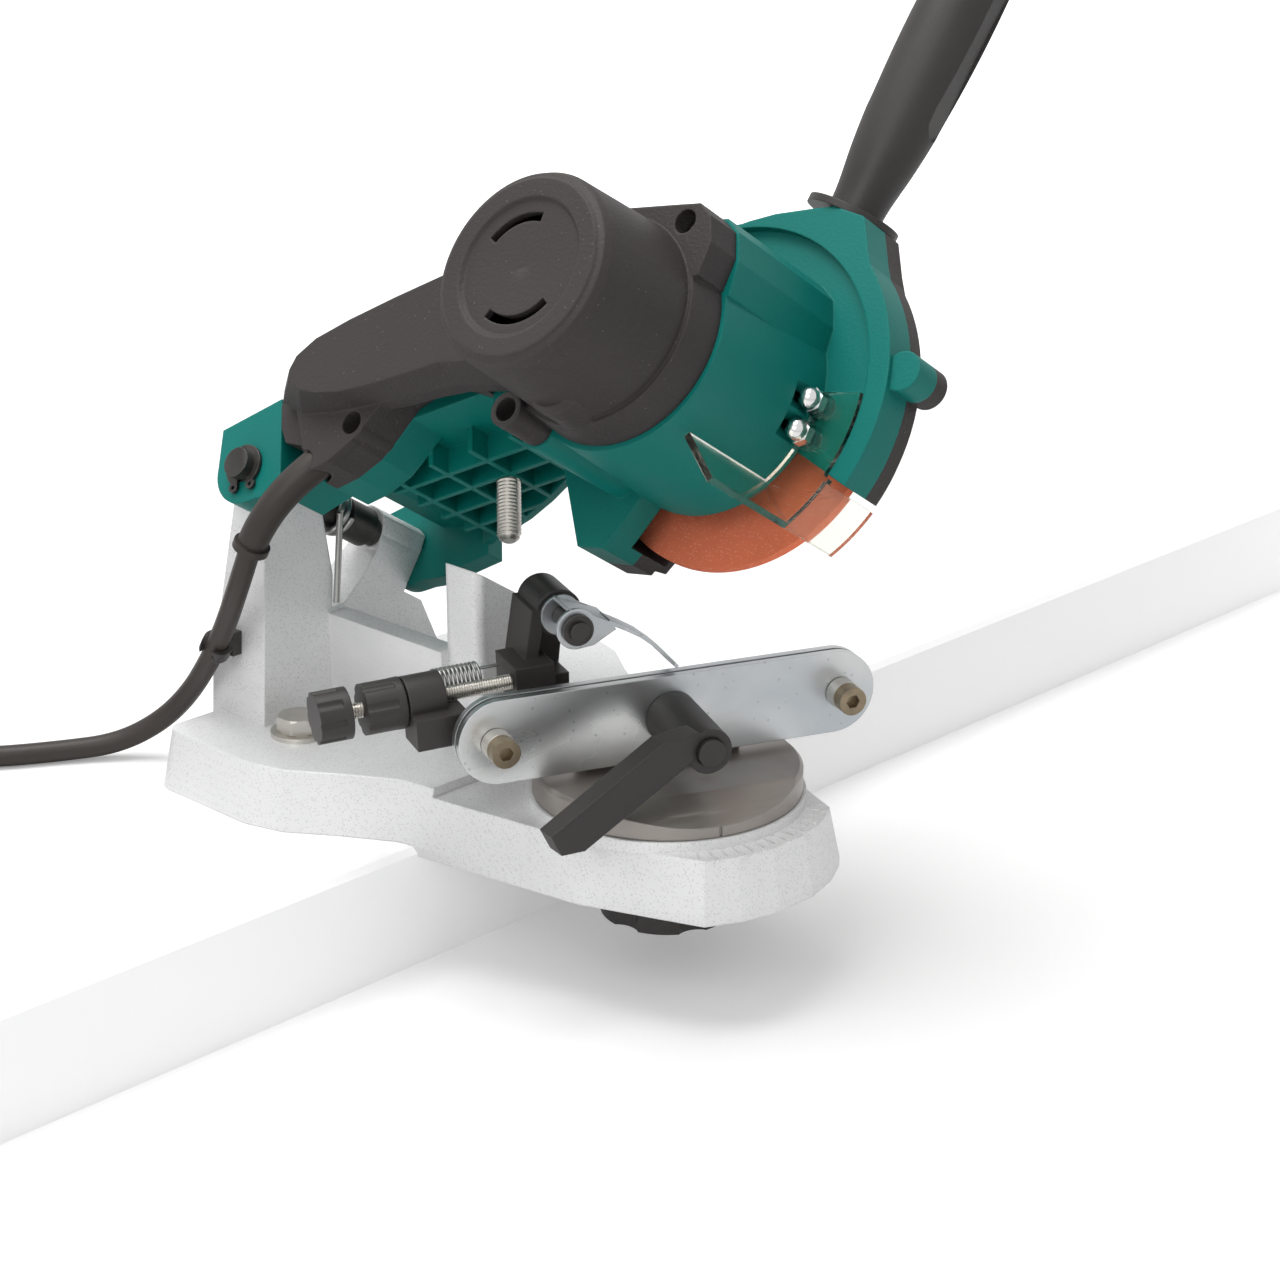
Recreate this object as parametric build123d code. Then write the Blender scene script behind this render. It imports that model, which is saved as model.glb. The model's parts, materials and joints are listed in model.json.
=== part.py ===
from build123d import *
from math import acos, atan2, cos, degrees, hypot, pi, radians, sin, sqrt, tan
import os

# Bench-mounted electric grinder for saw chains.  Millimetres, +Z up, -Y is the operator's side.
# Origin: midway between the two bench bolts, on the underside of the base.

# ---- base casting -------------------------------------------------------------------------
deck_height = 20.0            # top of the rear deck above the bench
nose_height = 17.0            # scale surface on the nose above the bench
lip_drop = 3.1                # the nose hangs this far below the bench top
base_draft = 11.0             # draft of the skirt, degrees
base_wall = 5.0               # wall of the hollow casting
base_half_width = 83.0
base_rear = 40.0
edge_round = 2.2              # rounding of the casting's top edges
bolt_spacing = 104.0          # between the two bench bolts
bolt_boss_radius = 12.0
turn_y = -118.0               # turntable axis
nose_radius = 55.0            # front arc of the nose about the turntable axis
nose_half_angle = 34.6
pad_radius = 43.8             # raised pad under the turntable
pad_height = 3.2
boss_radius = 15.0            # boss inside the nose, round the turntable stud
scale_inner = 44.6            # cast scale lines on the nose
scale_outer = 49.2
scale_step = 5                # degrees between two lines
scale_span = 35
scale_line = 0.5              # width of a line
scale_proud = 0.35

# ---- hinge and tower ----------------------------------------------------------------------
head_tilt = 33.26             # the hinge and the spindle dip this much towards +X
axis_x = 4.2                  # point of the hinge axis in the plane of the wheel
axis_y = 18.0
axis_z = 69.9
pin_radius = 5.0
ear_radius = 8.0              # rounding of the tower's two ears about the hinge pin
near_ear_out = -61.5          # stations along the hinge axis, from the plane of the wheel
far_ear_in = -12.4
far_ear_out = 12.0
tower_front = 12.8            # front face of the tower
tower_rear_top = 34.0
tower_rear_mid = 39.5
tower_left = -56.6
rib_left = -27.0              # rib from the tower to the stop post
rib_wall = 8.0
rib_top_rear = 52.5
rib_top_front = 53.0
post_left = -24.3
post_front = -58.5            # stop post that the depth stop lands on
post_rear = -41.0
post_width = 25.0
post_top = 83.0               # at its left edge; the top runs parallel to the hinge axis

# ---- fasteners ----------------------------------------------------------------------------
bench_thread = 4.0            # M8 bench bolts
bench_hex = 13.0
bench_head = 5.3
thread_relief = 0.1           # the shank is rolled thinner than its thread
bench_reach = 38.0            # shank below the base
washer_radius = 9.5
washer_thick = 1.6
spacer_from = -24.4           # sleeve on the hinge pin, up to the far ear
wire = 1.15                   # torsion spring on the hinge pin
spring_mean = 6.9
spring_pitch = 2.9
spring_turns = 2.0
spring_from = -31.2
spring_foot = (-24.4, 11.6, 56.0)
fit = 0.05                    # radial running clearance
gap = 0.3                     # clearance between faces of bodies that move apart

# ---- turntable and vice -------------------------------------------------------------------
vice_angle = 24.0             # the vice is swung this far from square
disc_radius = 42.8
disc_bottom = nose_height + pad_height + 0.3
disc_top = 28.8
facet_chord = 26.5            # front facet of the disc starts here
facet_drop = 5.0
rim_chamfer = 1.2
rail_height = 45.0            # centre line of the vice plates
rail_half = 56.3              # half the distance between the end arcs' centres
rail_radius = 13.65
plate_thick = 2.5
slot = 1.3                    # for the drive links of the chain
guide_station = 58.0          # guide screws, from the middle of the plates
guide_sleeve_radius = 4.9
guide_sleeve_reach = 5.0
guide_screw_radius = 2.5
guide_head_radius = 4.6
guide_head_long = 4.6
clamp_radius = 4.0            # M8 clamp bolt through both plates
block_half = 26.0             # upright of the turntable behind the fixed plate
block_thick = 11.0
hub_radius = 8.6              # clamping lever
hub_front_radius = 7.2
hub_length = 30.5
lever_splay = 9.6             # the arm leans out from the plates, degrees
lever_arm_thick = 7.0
lever_arm = [                 # from the hub's middle
    (-1.0, 0.5), (-44.0, -22.7), (-52.0, -22.4), (-55.5, -15.5), (-16.5, 6.0), (-4.0, 7.0),
]
button_radius = 4.4
button_proud = 2.0
button_travel = 1.5
stud_radius = 4.0             # M8 stud below the turntable
knob_radius = 21.5            # lock knob below the nose
knob_height = 18.0
knob_lobes = 6
knob_floor = 5.0

# ---- chain stop ---------------------------------------------------------------------------
stop_behind = 20.0            # adjusting screw, behind the middle of the slot
stop_rise = 2.7               # the screw climbs to the right, degrees
stop_z = 52.0                 # height of the screw's axis at its left end
stop_x = -108.4               # left end, along the vice
screw_radius = 2.5            # M5 adjusting screw
screw_pitch = 0.8
end_knob_radius = 8.2
end_knob_length = 10.5
nut_knob_from = 15.2
nut_knob_length = 12.5
holder_from = 28.4
holder_length = 12.0
holder_radius = 8.0
screw_end = 70.0
stop_travel = 3.5             # of the carriage, each way
foot_from = 63.5              # foot of the carriage on the screw
ext_radius = 3.6              # spring that draws the carriage back
ext_wire = 0.45
ext_behind = 8.0
ext_above = 1.5
pawl_x = -28.0                # pawl pin, along the vice
pawl_z = 75.0
pawl_pin_radius = 3.0
barrel_radius = 7.6
barrel_far = 39.0
barrel_near = 21.5
yoke_near = 5.5
yoke_far = 20.5
yoke_wall = 1.2
yoke_radius = 6.6
yoke_cheek = [                # side of the yoke's cheek, from the pawl pin
    (0, 6.6), (11.4, 0.8), (13.0, -1.8), (5.5, -6.0), (0, -6.6),
]
finger_side = [               # the finger bends down to the chain
    (11.0, 1.4), (21.0, -3.9), (25.0, -7.0), (31.4, -14.2), (30.6, -15.0), (24.2, -8.0), (20.4, -5.0), (10.6, 0.1),
]
finger_plan = [               # and narrows towards its middle plane, from the pin and from the slot
    (10.0, 5.5), (16.0, 5.5), (30.0, -1.0), (34.0, -1.0), (34.0, 4.5), (26.0, 9.0), (16.0, 14.0), (10.0, 14.0),
]

# ---- grinding head ------------------------------------------------------------------------
head_raise = 29.8             # the arm stands this far above level at rest
spindle = 147.3               # hinge to spindle
lobe_radius = 12.5
near_lobe_out = -70.5
near_lobe_in = -61.8
far_lobe_in = 12.3
far_lobe_out = 20.0
parting = -66.0               # joint between the green housing and the black cover, round the motor
arm_parting = -60.0           # and along the arm
arm_back = -45.0              # the arm's box ends here, and its ribbed plate begins
step_p = 98.0                 # the joint steps between the two here
arm_face = -85.0
clamp_face = -75.5
shell = 2.6                   # wall of the plastic housings
motor_radius = 31.2
motor_foot_radius = 32.6
motor_face = -117.6
flange_face = -79.0
flange_radius = 35.4
barrel_out = 37.0             # green barrel at the parting face
guard_near = -14.5            # guard's near wall
guard_ridge = -18.0           # near face of the ridge round the guard
guard_inner = 56.0            # inside of the ridge
guard_split = -6.0            # green rim meets the black cover
guard_far = 9.0
guard_radius = 63.5           # round the front of the wheel
guard_top_radius = 57.5       # and over its top and back
guard_step = 30.0             # the two radii meet here, under the handle
guard_wall = 2.4
guard_cavity = 54.5           # room for the wheel
guard_far_radius = 56.5
guard_seat = -3.0             # heads of its screws
guard_cut = -45.5             # the guard's front end, degrees from the arm's line
guard_start = 214.0           # and its rear end
handle_angle = 54.4           # handle's axis, degrees from the arm's line
handle_spot = 49.3            # where it stands on the rim
handle_at = 68.0
handle_length = 104.0
handle_root_radius = 8.8
handle_grip_radius = 12.9
handle_flange_radius = 15.3
wheel_radius = 52.0
wheel_thick = 3.2
wheel_bore = 11.5
shaft_radius = 4.0
clamp_flange_radius = 15.0
stop_stud_p = 68.0            # depth-stop screw, along the arm
stop_stud_y = -20.0
stop_stud_top = 24.0
stop_stud_tip = -28.0
handle_y = -4.0
bearing_outer = 11.0          # 608 bearings
bearing_width = 7.0
rear_bearing_y = -112.0
bore_radius = 28.2            # inside of the motor cover
dish_radius = 20.6            # dished middle of the motor cap
cap_ring = 27.4               # raised ring round it
cap_step = 1.3
cap_dish = 1.9
cap_deep = 3.6
vent_inner = 14.6             # two slots in the dish
vent_outer = 17.4
hood_radius = 10.5            # hood on the motor, next to its flange
hood_near = -92.0
hood_spot = (24.3, -106)      # from the spindle, and degrees
rotor_radius = 15.0
rotor_y0 = -90.0
rotor_y1 = -64.0
winding = 5.0
rotor_slots = 12
commutator_radius = 9.0
commutator_y0 = -104.0
fan_radius = 24.0
fan_y0 = -57.0
fan_y1 = -47.0
fan_blades = 9
flange_thick = 2.5
wheel_nut_y1 = 8.6
case_thread = 2.0             # screws of the plastic housings
case_head = 3.4
seat_depth = 4.0
guard_screw_in = 7.0
stop_knob_radius = 11.0
stop_knob_height = 12.0
knob_seat = 31.0
switch_y0 = -58.4
switch_y1 = -47.6
pivot_radius = 1.2
switch_p0 = 35.0              # rocker switch in the top of the arm
switch_p1 = 50.0
switch_top = 29.4
switch_deep = 16.0
rib_plate_q = 2.0             # the arm's plate, above its ribs
rib_depth = 9.0
rib_half = 0.9
arm_plan = [                  # the arm from above: its far edge runs in towards the guard
    (10, -62), (10, 21), (30, 21), (34, 14), (40, 12), (57, 6.5), (71, 0), (86, -8.5), (100, -14.5), (118, -14.5),
    (118, -62),
]

# ---- eye shield ---------------------------------------------------------------------------
shield_thick = 2.2
shield_inner = 39.5
shield_outer = 58.0
shield_top = -18.0
shield_low = -66.5
shield_flap = 40.0
shield_back = -16.8           # far face of the sheet
shield_wall_end = 8.0
shield_thread = 2.0           # M4

# ---- mains lead ---------------------------------------------------------------------------
cord_radius = 3.6
sleeve_radius = 5.4           # strain relief at the housing, and at its end
sleeve_tip = 4.9
sleeve_share = 0.165            # of the lead's route covered by the strain relief
clip_share = 0.37
cord_route = [
    (-45.4, -14.0, 117.4), (-54.8, -10.0, 111.7), (-62.8, -5.2, 102.6), (-67.6, 0.0, 90.9), (-68.1, 7.2, 75.0),
    (-64.5, 19.5, 57.5), (-62.5, 31.0, 42.0), (-61.6, 45.7, 24.3), (-67.3, 56.0, 12.6), (-77.9, 66.3, 5.2),
    (-92.0, 77.0, 3.7), (-113.0, 90.0, 3.7), (-135.5, 105.0, 3.7), (-156.2, 118.0, 3.7),
]
coil_turn_radius = 40.0       # to the middle of the turns
coil_turns = 6
coil_floor = 0.1
coil_centre = (-132.5, 154.6)
coil_exit = (-176.0, 154.6, 3.7)
coil_exit_dir = (0, 1, 0)
plug_width = 35.0
plug_thick = 13.7
plug_long = 32.0
plug_pitch = 18.6
plug_pin = 2.0

os.makedirs("parts", exist_ok=True)

AXIS = Vector(cos(radians(head_tilt)), 0, -sin(radians(head_tilt)))
LIFT = Vector(sin(radians(head_tilt)), 0, cos(radians(head_tilt)))
hinge_point = Vector(axis_x, axis_y, axis_z)
arm_dir = Vector(0, -1, 0) * cos(radians(head_raise)) + LIFT * sin(radians(head_raise))
arm_up = Vector(0, 1, 0) * sin(radians(head_raise)) + LIFT * cos(radians(head_raise))

# Frames: (p, y, q) on the head, (s, y, w) on the tower's ears, (along, behind, z) on the vice.
HEAD = Plane(origin=hinge_point, x_dir=arm_dir, z_dir=arm_up)
EARS = Plane(origin=hinge_point, x_dir=(0, -1, 0), z_dir=LIFT)
vice_dir = Vector(cos(radians(vice_angle)), -sin(radians(vice_angle)), 0)
VICE = Plane(origin=(0, turn_y, 0), x_dir=vice_dir, z_dir=(0, 0, 1))
screw_dir = Vector(cos(radians(stop_rise)), 0, sin(radians(stop_rise)))
screw_up = Vector(-sin(radians(stop_rise)), 0, cos(radians(stop_rise)))
STOP = Plane(origin=(stop_x, stop_behind, stop_z), x_dir=screw_dir, z_dir=screw_up)

nodes = {}


def outline(points, rounding=0.0):
    """Closed flat outline; rounding is one radius for all its corners."""
    face = make_face(Polyline(*points, close=True))
    if rounding:
        face = fillet(face.vertices(), rounding)
    return face


def across(face, y0, y1):
    """Extrude a sketch drawn in a frame's x-z plane from station y0 to y1."""
    plane = Plane(origin=(0, y0, 0), x_dir=(1, 0, 0), z_dir=(0, -1, 0))
    return extrude(plane * face, amount=-(y1 - y0))


def rod_y(radius, y0, y1, x=0.0, z=0.0):
    """Cylinder along a frame's y axis."""
    return Pos(x, (y0 + y1) / 2, z) * Rot(90, 0, 0) * Cylinder(radius, y1 - y0)


def cone_y(r0, r1, y0, y1, x=0.0, z=0.0):
    """Truncated cone along y, radius r0 at y0 and r1 at y1."""
    return Pos(x, (y0 + y1) / 2, z) * Rot(-90, 0, 0) * Cone(r0, r1, y1 - y0)


def rod_z(radius, z0, z1, x=0.0, y=0.0):
    """Cylinder along z."""
    return Pos(x, y, (z0 + z1) / 2) * Cylinder(radius, z1 - z0)


def rod_x(radius, x0, x1, y=0.0, z=0.0):
    """Cylinder along a frame's x axis."""
    return Pos((x0 + x1) / 2, y, z) * Rot(0, 90, 0) * Cylinder(radius, x1 - x0)


def block(x0, x1, y0, y1, z0, z1):
    """Box between two corners."""
    return Pos((x0 + x1) / 2, (y0 + y1) / 2, (z0 + z1) / 2) * Box(x1 - x0, y1 - y0, z1 - z0)


def hexagon_z(width, z0, z1, x=0.0, y=0.0):
    """Hexagonal prism along z, width across flats."""
    sides = RegularPolygon(width / sqrt(3), 6)
    return Pos(x, y, z0) * extrude(sides, amount=z1 - z0)


def disc(radius, x=0.0, y=0.0):
    """Flat circle."""
    return Pos(x, y) * Circle(radius)


def sector(radius, start, end, x=0.0, y=0.0):
    """Pie slice between two angles, in degrees; under half a turn."""
    middle = (start + end) / 2
    corner = radius / cos(radians((end - start) / 2))
    far = [(x + corner * cos(radians(t)), y + corner * sin(radians(t)))
           for t in (start, middle - (end - start) / 4, middle, middle + (end - start) / 4, end)]
    return make_face(Polyline((x, y), *far, close=True)) & disc(radius, x, y)


def polar(radius, angle, x=0.0, y=0.0):
    """Point at an angle in degrees round (x, y)."""
    return (x + radius * cos(radians(angle)), y + radius * sin(radians(angle)))


def head_rod(radius, y0, y1, centre):
    """Cylinder along a frame's y axis at a point (x, z)."""
    return rod_y(radius, y0, y1, centre[0], centre[1])


def put(name, shape, plane=None):
    """Store a node, moved from its frame into the model."""
    nodes[name] = plane.location * shape if plane else shape


# ==== base casting =========================================================================
corner = polar(nose_radius, -90 + nose_half_angle)
half_outline = [
    (base_half_width, base_rear),
    (base_half_width, -8),
    (base_half_width - 4, -22),
    (base_half_width - 15, -38),
    (base_half_width - 25, -55),
    (46.5, turn_y - 6),
    (corner[0], turn_y + corner[1]),
]
left = [(-x, y) for x, y in half_outline]
front_arc = [(nose_radius * sin(radians(t)), turn_y - nose_radius * cos(radians(t)))
             for t in (-22, -8, 8, 22)]
skirt = outline(left + front_arc + half_outline[::-1])
smooth = [v for v in skirt.vertices() if v.Y > turn_y - 20]
skirt = fillet(smooth, 9)
nose_zone = Pos(0, -160) * Rectangle(200, 200)
body = extrude(skirt, amount=deck_height, taper=base_draft)
body -= block(-100, 100, -260, -66, nose_height, deck_height + 5)
lip = extrude(Pos(0, 0, -lip_drop) * (skirt & nose_zone), amount=lip_drop)
pocket = extrude(offset(skirt, -base_wall - 1, kind=Kind.INTERSECTION), amount=nose_height - base_wall,
                 taper=base_draft)
pocket_low = extrude(Pos(0, 0, -lip_drop) * offset(skirt & nose_zone, -base_wall - 1,
                                                   kind=Kind.INTERSECTION), amount=lip_drop)
pad = rod_z(pad_radius, nose_height - 1, nose_height + pad_height, 0, turn_y)
base = body + lip - pocket - pocket_low
base += rod_z(boss_radius, -lip_drop, nose_height, 0, turn_y)
for side in (-1, 1):
    base += rod_z(bolt_boss_radius, 0, deck_height, side * bolt_spacing / 2)

near_left = near_ear_out * cos(radians(head_tilt)) + axis_x
near_level = axis_z - near_ear_out * sin(radians(head_tilt))
tower_face = outline([
    (tower_left, deck_height - 4),
    (tower_left + 4.8, 98),
    (tower_left + 6.6, 130),
    (-30, 130),
    (-29.5, 97),
    (-24.6, 65.5),
    (-25.5, 54),
    (-20, 54.5),
    (-12, 61),
    (-5, 69),
    (-1.5, 77),
    (-1, 95),
    (30, 95),
    (15.5, 66),
    (11.5, 53),
    (24, deck_height + 4),
    (28, deck_height - 4),
])
tower = across(tower_face, tower_front, base_rear)
saddle = outline([
    (-(base_rear - axis_y) - 6, -90),
    (-ear_radius, 0),
    (ear_radius, 0),
    (ear_radius, -90),
]) + disc(ear_radius)
tower &= EARS.location * across(saddle, -120, 80)
rear_cut = outline([(base_rear, deck_height - 5), (tower_rear_mid, 72), (tower_rear_top + 2, 98),
                    (tower_rear_top, 130), (80, 130), (80, deck_height - 5)])
rear_plane = Plane(origin=(-120, 0, 0), x_dir=(0, 1, 0), z_dir=(1, 0, 0))
tower -= extrude(rear_plane * rear_cut, amount=240)
tower -= EARS.location * block(-60, 60, -160, near_ear_out, -30, 60)
tower -= EARS.location * block(-60, 60, far_ear_out, 90, -14, 60)
rib_side = outline([
    (tower_front + 6, deck_height - 4),
    (post_rear - 2, deck_height - 4),
    (post_rear - 2, rib_top_front),
    (tower_front + 6, rib_top_rear),
])
rib_plane = Plane(origin=(rib_left, 0, 0), x_dir=(0, 1, 0), z_dir=(1, 0, 0))
rib = extrude(rib_plane * rib_side, amount=rib_wall)
post_slope = tan(radians(head_tilt))
post_face = outline([
    (post_left, deck_height - 4),
    (post_left, post_top),
    (post_left + post_width, post_top - post_width * post_slope),
    (post_left + post_width + 3, deck_height - 4),
])
post = across(post_face, post_front, post_rear)
post = fillet(post.edges().filter_by(Axis.Z), 3.5)
pocket_clear = block(-100, 100, -200, base_rear, -20, deck_height - base_wall)
base += (tower + rib + post) - pocket_clear
base += pad
scale_ring = extrude(Pos(0, turn_y, nose_height) * (disc(scale_outer) - disc(scale_inner)),
                     amount=scale_proud)
for step in range(-scale_span, scale_span + 1, scale_step):
    tick = Pos(*polar((scale_inner + scale_outer) / 2, -90 + step, 0, turn_y), nose_height)
    tick *= Rot(0, 0, step)
    base += tick * Pos(0, 0, 0) * Box(scale_line, scale_outer - scale_inner, 2 * scale_proud)
base -= rod_z(stud_radius + fit, -lip_drop - 1, disc_top, 0, turn_y)
for side in (-1, 1):
    base -= rod_z(bench_thread + 0.5, -1, deck_height + 1, side * bolt_spacing / 2)
base -= EARS.location * rod_y(pin_radius, near_ear_out - 5, far_ear_out + 5)
put("base_casting", base)

# ==== bench bolts ==========================================================================
bolts = []
washers = []
for side in (-1, 1):
    x = side * bolt_spacing / 2
    under = deck_height + washer_thick
    shape = rod_z(bench_thread, -bench_reach, 0, x) + rod_z(bench_thread - thread_relief, -1, under + 1, x)
    shape += hexagon_z(bench_hex, under, under + bench_head, x)
    bolts.append(shape)
    washers.append(rod_z(washer_radius, deck_height, under, x) - rod_z(bench_thread, 0, under + 1, x))
put("bench_bolts", Compound(children=bolts))
put("bench_washers", Compound(children=washers))

# ==== hinge pin, circlips, spacer and spring ===============================================
pin_near = near_lobe_out - 4.9
pin_far = far_lobe_out + 4.0
groove = 1.2
pin = rod_y(pin_radius, pin_near, pin_far)
for y in (near_lobe_out - gap - groove, far_lobe_out + gap):
    pin -= rod_y(pin_radius + 1, y, y + groove) - rod_y(pin_radius - 0.8, y, y + groove)
put("hinge_pin", pin, EARS)
clips = []
for y in (near_lobe_out - gap - groove, far_lobe_out + gap):
    ring = disc(pin_radius + 2.2) - disc(pin_radius - 0.8) - Pos(0, -pin_radius) * Rectangle(4, 8)
    for side in (-1, 1):
        ring += disc(1.7, side * 3.6, -pin_radius - 2) - disc(0.8, side * 3.6, -pin_radius - 2)
    clips.append(across(Rot(0, 0, 25) * ring, y, y + groove))
put("pin_circlips", Compound(children=clips), EARS)
spacer = rod_y(pin_radius + 1.8, spacer_from, far_ear_in) - rod_y(pin_radius, -80, 20)
put("pin_spacer", spacer, EARS)
helix = Helix(pitch=spring_pitch, height=spring_pitch * spring_turns, radius=spring_mean, lefthand=True)
coil = sweep(Plane(helix @ 0, z_dir=helix % 0) * Circle(wire), path=helix)
spring_frame = Plane(origin=(0, spring_from, 0), x_dir=(1, 0, 0), z_dir=(0, 1, 0))
tilt_spring = spring_frame.location * coil
leg_top = Vector(spring_mean, spring_from, 0)
leg_low = EARS.to_local_coords(Vector(*spring_foot))
leg = leg_low - leg_top
tilt_spring += Plane(origin=leg_top, z_dir=leg).location * rod_z(wire, 0, leg.length)
put("tilt_spring", tilt_spring, EARS)

# ==== turntable ============================================================================
table = rod_z(disc_radius, disc_bottom, disc_top)
table = chamfer(table.edges().sort_by(Axis.Z)[-1], rim_chamfer)
facet = outline([
    (-facet_chord, disc_top),
    (-disc_radius - 4, disc_top - facet_drop * (disc_radius + 4 - facet_chord) / (disc_radius - facet_chord)),
    (-disc_radius - 4, disc_top + 5),
    (-facet_chord, disc_top + 5),
])
facet_plane = Plane(origin=(-60, 0, 0), x_dir=(0, 1, 0), z_dir=(1, 0, 0))
table -= extrude(facet_plane * facet, amount=120)
block_front = slot / 2 + plate_thick
table += block(-block_half, block_half, block_front, block_front + block_thick, disc_top - 2,
               rail_height + rail_radius - 5)
table -= rod_z(stud_radius, disc_bottom - 1, disc_top - 2)
table -= rod_y(clamp_radius, 0, block_front + block_thick + 1, 0, rail_height)
pointer = Pos(0, -disc_radius, disc_bottom) * Box(0.8, 1.2, 30)
table -= pointer
put("turntable", table, VICE)
put("turntable_stud", rod_z(stud_radius, -lip_drop - gap - knob_height + knob_floor, disc_top - 2), VICE)

# ==== vice plates ==========================================================================
plate_shape = Pos(0, rail_height) * SlotOverall(2 * (rail_half + rail_radius), 2 * rail_radius)
screw_holes = disc(guide_screw_radius, -guide_station, rail_height) + disc(guide_screw_radius, guide_station,
                                                                           rail_height)
rear_plate = across(plate_shape - disc(clamp_radius, 0, rail_height) - screw_holes, slot / 2, block_front)
running_holes = disc(guide_screw_radius + fit, -guide_station, rail_height) + disc(
    guide_screw_radius + fit, guide_station, rail_height)
front_plate = across(plate_shape - disc(clamp_radius + fit, 0, rail_height) - running_holes, -block_front,
                     -slot / 2)
put("rear_plate", rear_plate, VICE)
put("front_plate", front_plate, VICE)
sleeves = []
screws = []
face = -block_front - gap
for side in (-1, 1):
    x = side * guide_station
    tip = face - guide_sleeve_reach
    sleeves.append(rod_y(guide_sleeve_radius, tip, face, x, rail_height)
                   - rod_y(guide_screw_radius, tip - 1, face + 1, x, rail_height))
    socket = across(RegularPolygon(2.3, 6), tip - guide_head_long - 1, tip - 2)
    screws.append(rod_y(guide_screw_radius, tip - 1, block_front + 1, x, rail_height)
                  + rod_y(guide_head_radius, tip - guide_head_long, tip, x, rail_height)
                  - Pos(x, 0, rail_height) * socket)
put("guide_sleeves", Compound(children=sleeves), VICE)
put("guide_screws", Compound(children=screws), VICE)

# ==== clamping lever =======================================================================
hub_back = -block_front - gap
hub_tip = hub_back - hub_length
core_radius = 6.0
insert_top = hub_tip + 5
insert = rod_y(core_radius - 0.1, insert_top, hub_back, 0, rail_height)
insert += rod_y(clamp_radius - fit, hub_back - 1, block_front + block_thick, 0, rail_height)
put("clamp_bolt", insert, VICE)
hub = cone_y(hub_front_radius, hub_radius, hub_tip, hub_back, 0, rail_height)
arm = across(Pos(0, rail_height) * outline(lever_arm), 0.4, 0.4 + lever_arm_thick)
lever = hub + Pos(0, hub_tip, 0) * Rot(0, 0, lever_splay) * arm
lever -= rod_y(core_radius, insert_top, hub_back + 1, 0, rail_height)
lever -= rod_y(button_radius + 0.2, hub_tip - 5, insert_top + 1, 0, rail_height)
put("clamp_lever", lever, VICE)
button = rod_y(button_radius, hub_tip - button_proud, insert_top - button_travel - gap, 0, rail_height)
put("lever_button", button, VICE)

# ==== lock knob under the nose =============================================================
knob_top = -lip_drop - gap
knob_bottom = knob_top - knob_height
profile = Circle(knob_radius)
for i in range(knob_lobes):
    profile -= disc(7, *polar(knob_radius + 4.8, 360 / knob_lobes * (i + 0.5)))
knob = Pos(0, 0, knob_bottom) * extrude(profile, amount=knob_height)
knob += rod_z(9, knob_top - 4, knob_top)
knob -= rod_z(stud_radius + fit, knob_bottom + knob_floor - gap, knob_top + 1)
put("lock_knob", knob, VICE)

# ==== chain stop ===========================================================================
end_knob = rod_x(end_knob_radius, 0, end_knob_length) - rod_x(screw_radius, 3, end_knob_length + 1)
flutes = 8
for i in range(flutes):
    y, z = polar(end_knob_radius + 1.2, 360 / flutes * i)
    end_knob -= rod_x(1.9, -1, end_knob_length - 2.5, y, z)
STOP_IN_VICE = VICE.location * STOP.location


def put_stop(name, shape):
    """Store a node drawn on the adjusting screw: x along it from its knob's face."""
    nodes[name] = STOP_IN_VICE * shape


put_stop("adjust_knob", end_knob)
put_stop("adjust_screw", rod_x(screw_radius, 3, screw_end))
lock = rod_x(end_knob_radius, nut_knob_from, nut_knob_from + nut_knob_length)
for i in range(flutes):
    y, z = polar(end_knob_radius + 1.2, 360 / flutes * (i + 0.5))
    lock -= rod_x(1.9, nut_knob_from - 1, nut_knob_from + nut_knob_length - 2.5, y, z)
lock -= rod_x(screw_radius + fit, 0, 60)
put_stop("lock_nut", lock)
holder = rod_x(holder_radius, holder_from, holder_from + holder_length)
holder += block(holder_from, holder_from + holder_length + 5, -stop_behind + block_front + 4, 0, -12, -2)
holder -= rod_x(screw_radius + fit, 0, 80)
put_stop("stop_holder", holder)

foot = block(foot_from, foot_from + 13, -6, 13, -6, 6)
carriage = STOP.location * foot
leg_x = pawl_x - barrel_radius
web = across(outline([
    (leg_x - 5, stop_z + 2),
    (leg_x - 1.5, pawl_z + 2),
    (pawl_x + barrel_radius - 1, pawl_z),
    (pawl_x + 4, stop_z - 2),
]), barrel_far - 5, barrel_far)
flange = across(outline([
    (leg_x - 5, stop_z + 2),
    (leg_x - 1.5, pawl_z + 2),
    (leg_x + 3, pawl_z + 2),
    (leg_x - 1, stop_z + 2),
]), yoke_far + gap, barrel_far)
shelf = block(leg_x - 5, pawl_x + 3, yoke_far + gap, barrel_far, stop_z - 2, stop_z + 3)
carriage = carriage + web + flange + shelf + rod_y(barrel_radius, barrel_near, barrel_far, pawl_x, pawl_z)
carriage -= STOP.location * rod_x(screw_radius + fit, foot_from - 1, screw_end + stop_travel + 0.5)
carriage -= rod_y(pawl_pin_radius, 0, barrel_far - 4, pawl_x, pawl_z)
put("stop_carriage", carriage, VICE)
put("pawl_pin", rod_y(pawl_pin_radius, yoke_near - 3.2, barrel_far - 4, pawl_x, pawl_z), VICE)
put("pawl_washer", rod_y(5.0, yoke_near - 1.7, yoke_near - gap, pawl_x, pawl_z)
    - rod_y(pawl_pin_radius, 0, 40, pawl_x, pawl_z), VICE)
cheek = disc(yoke_radius) + outline(yoke_cheek) - disc(pawl_pin_radius + fit)
strap = outline([(-2, yoke_radius), (12.2, 0.6), (11.6, 0.6 - yoke_wall), (-2.4, yoke_radius - yoke_wall)])
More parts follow.
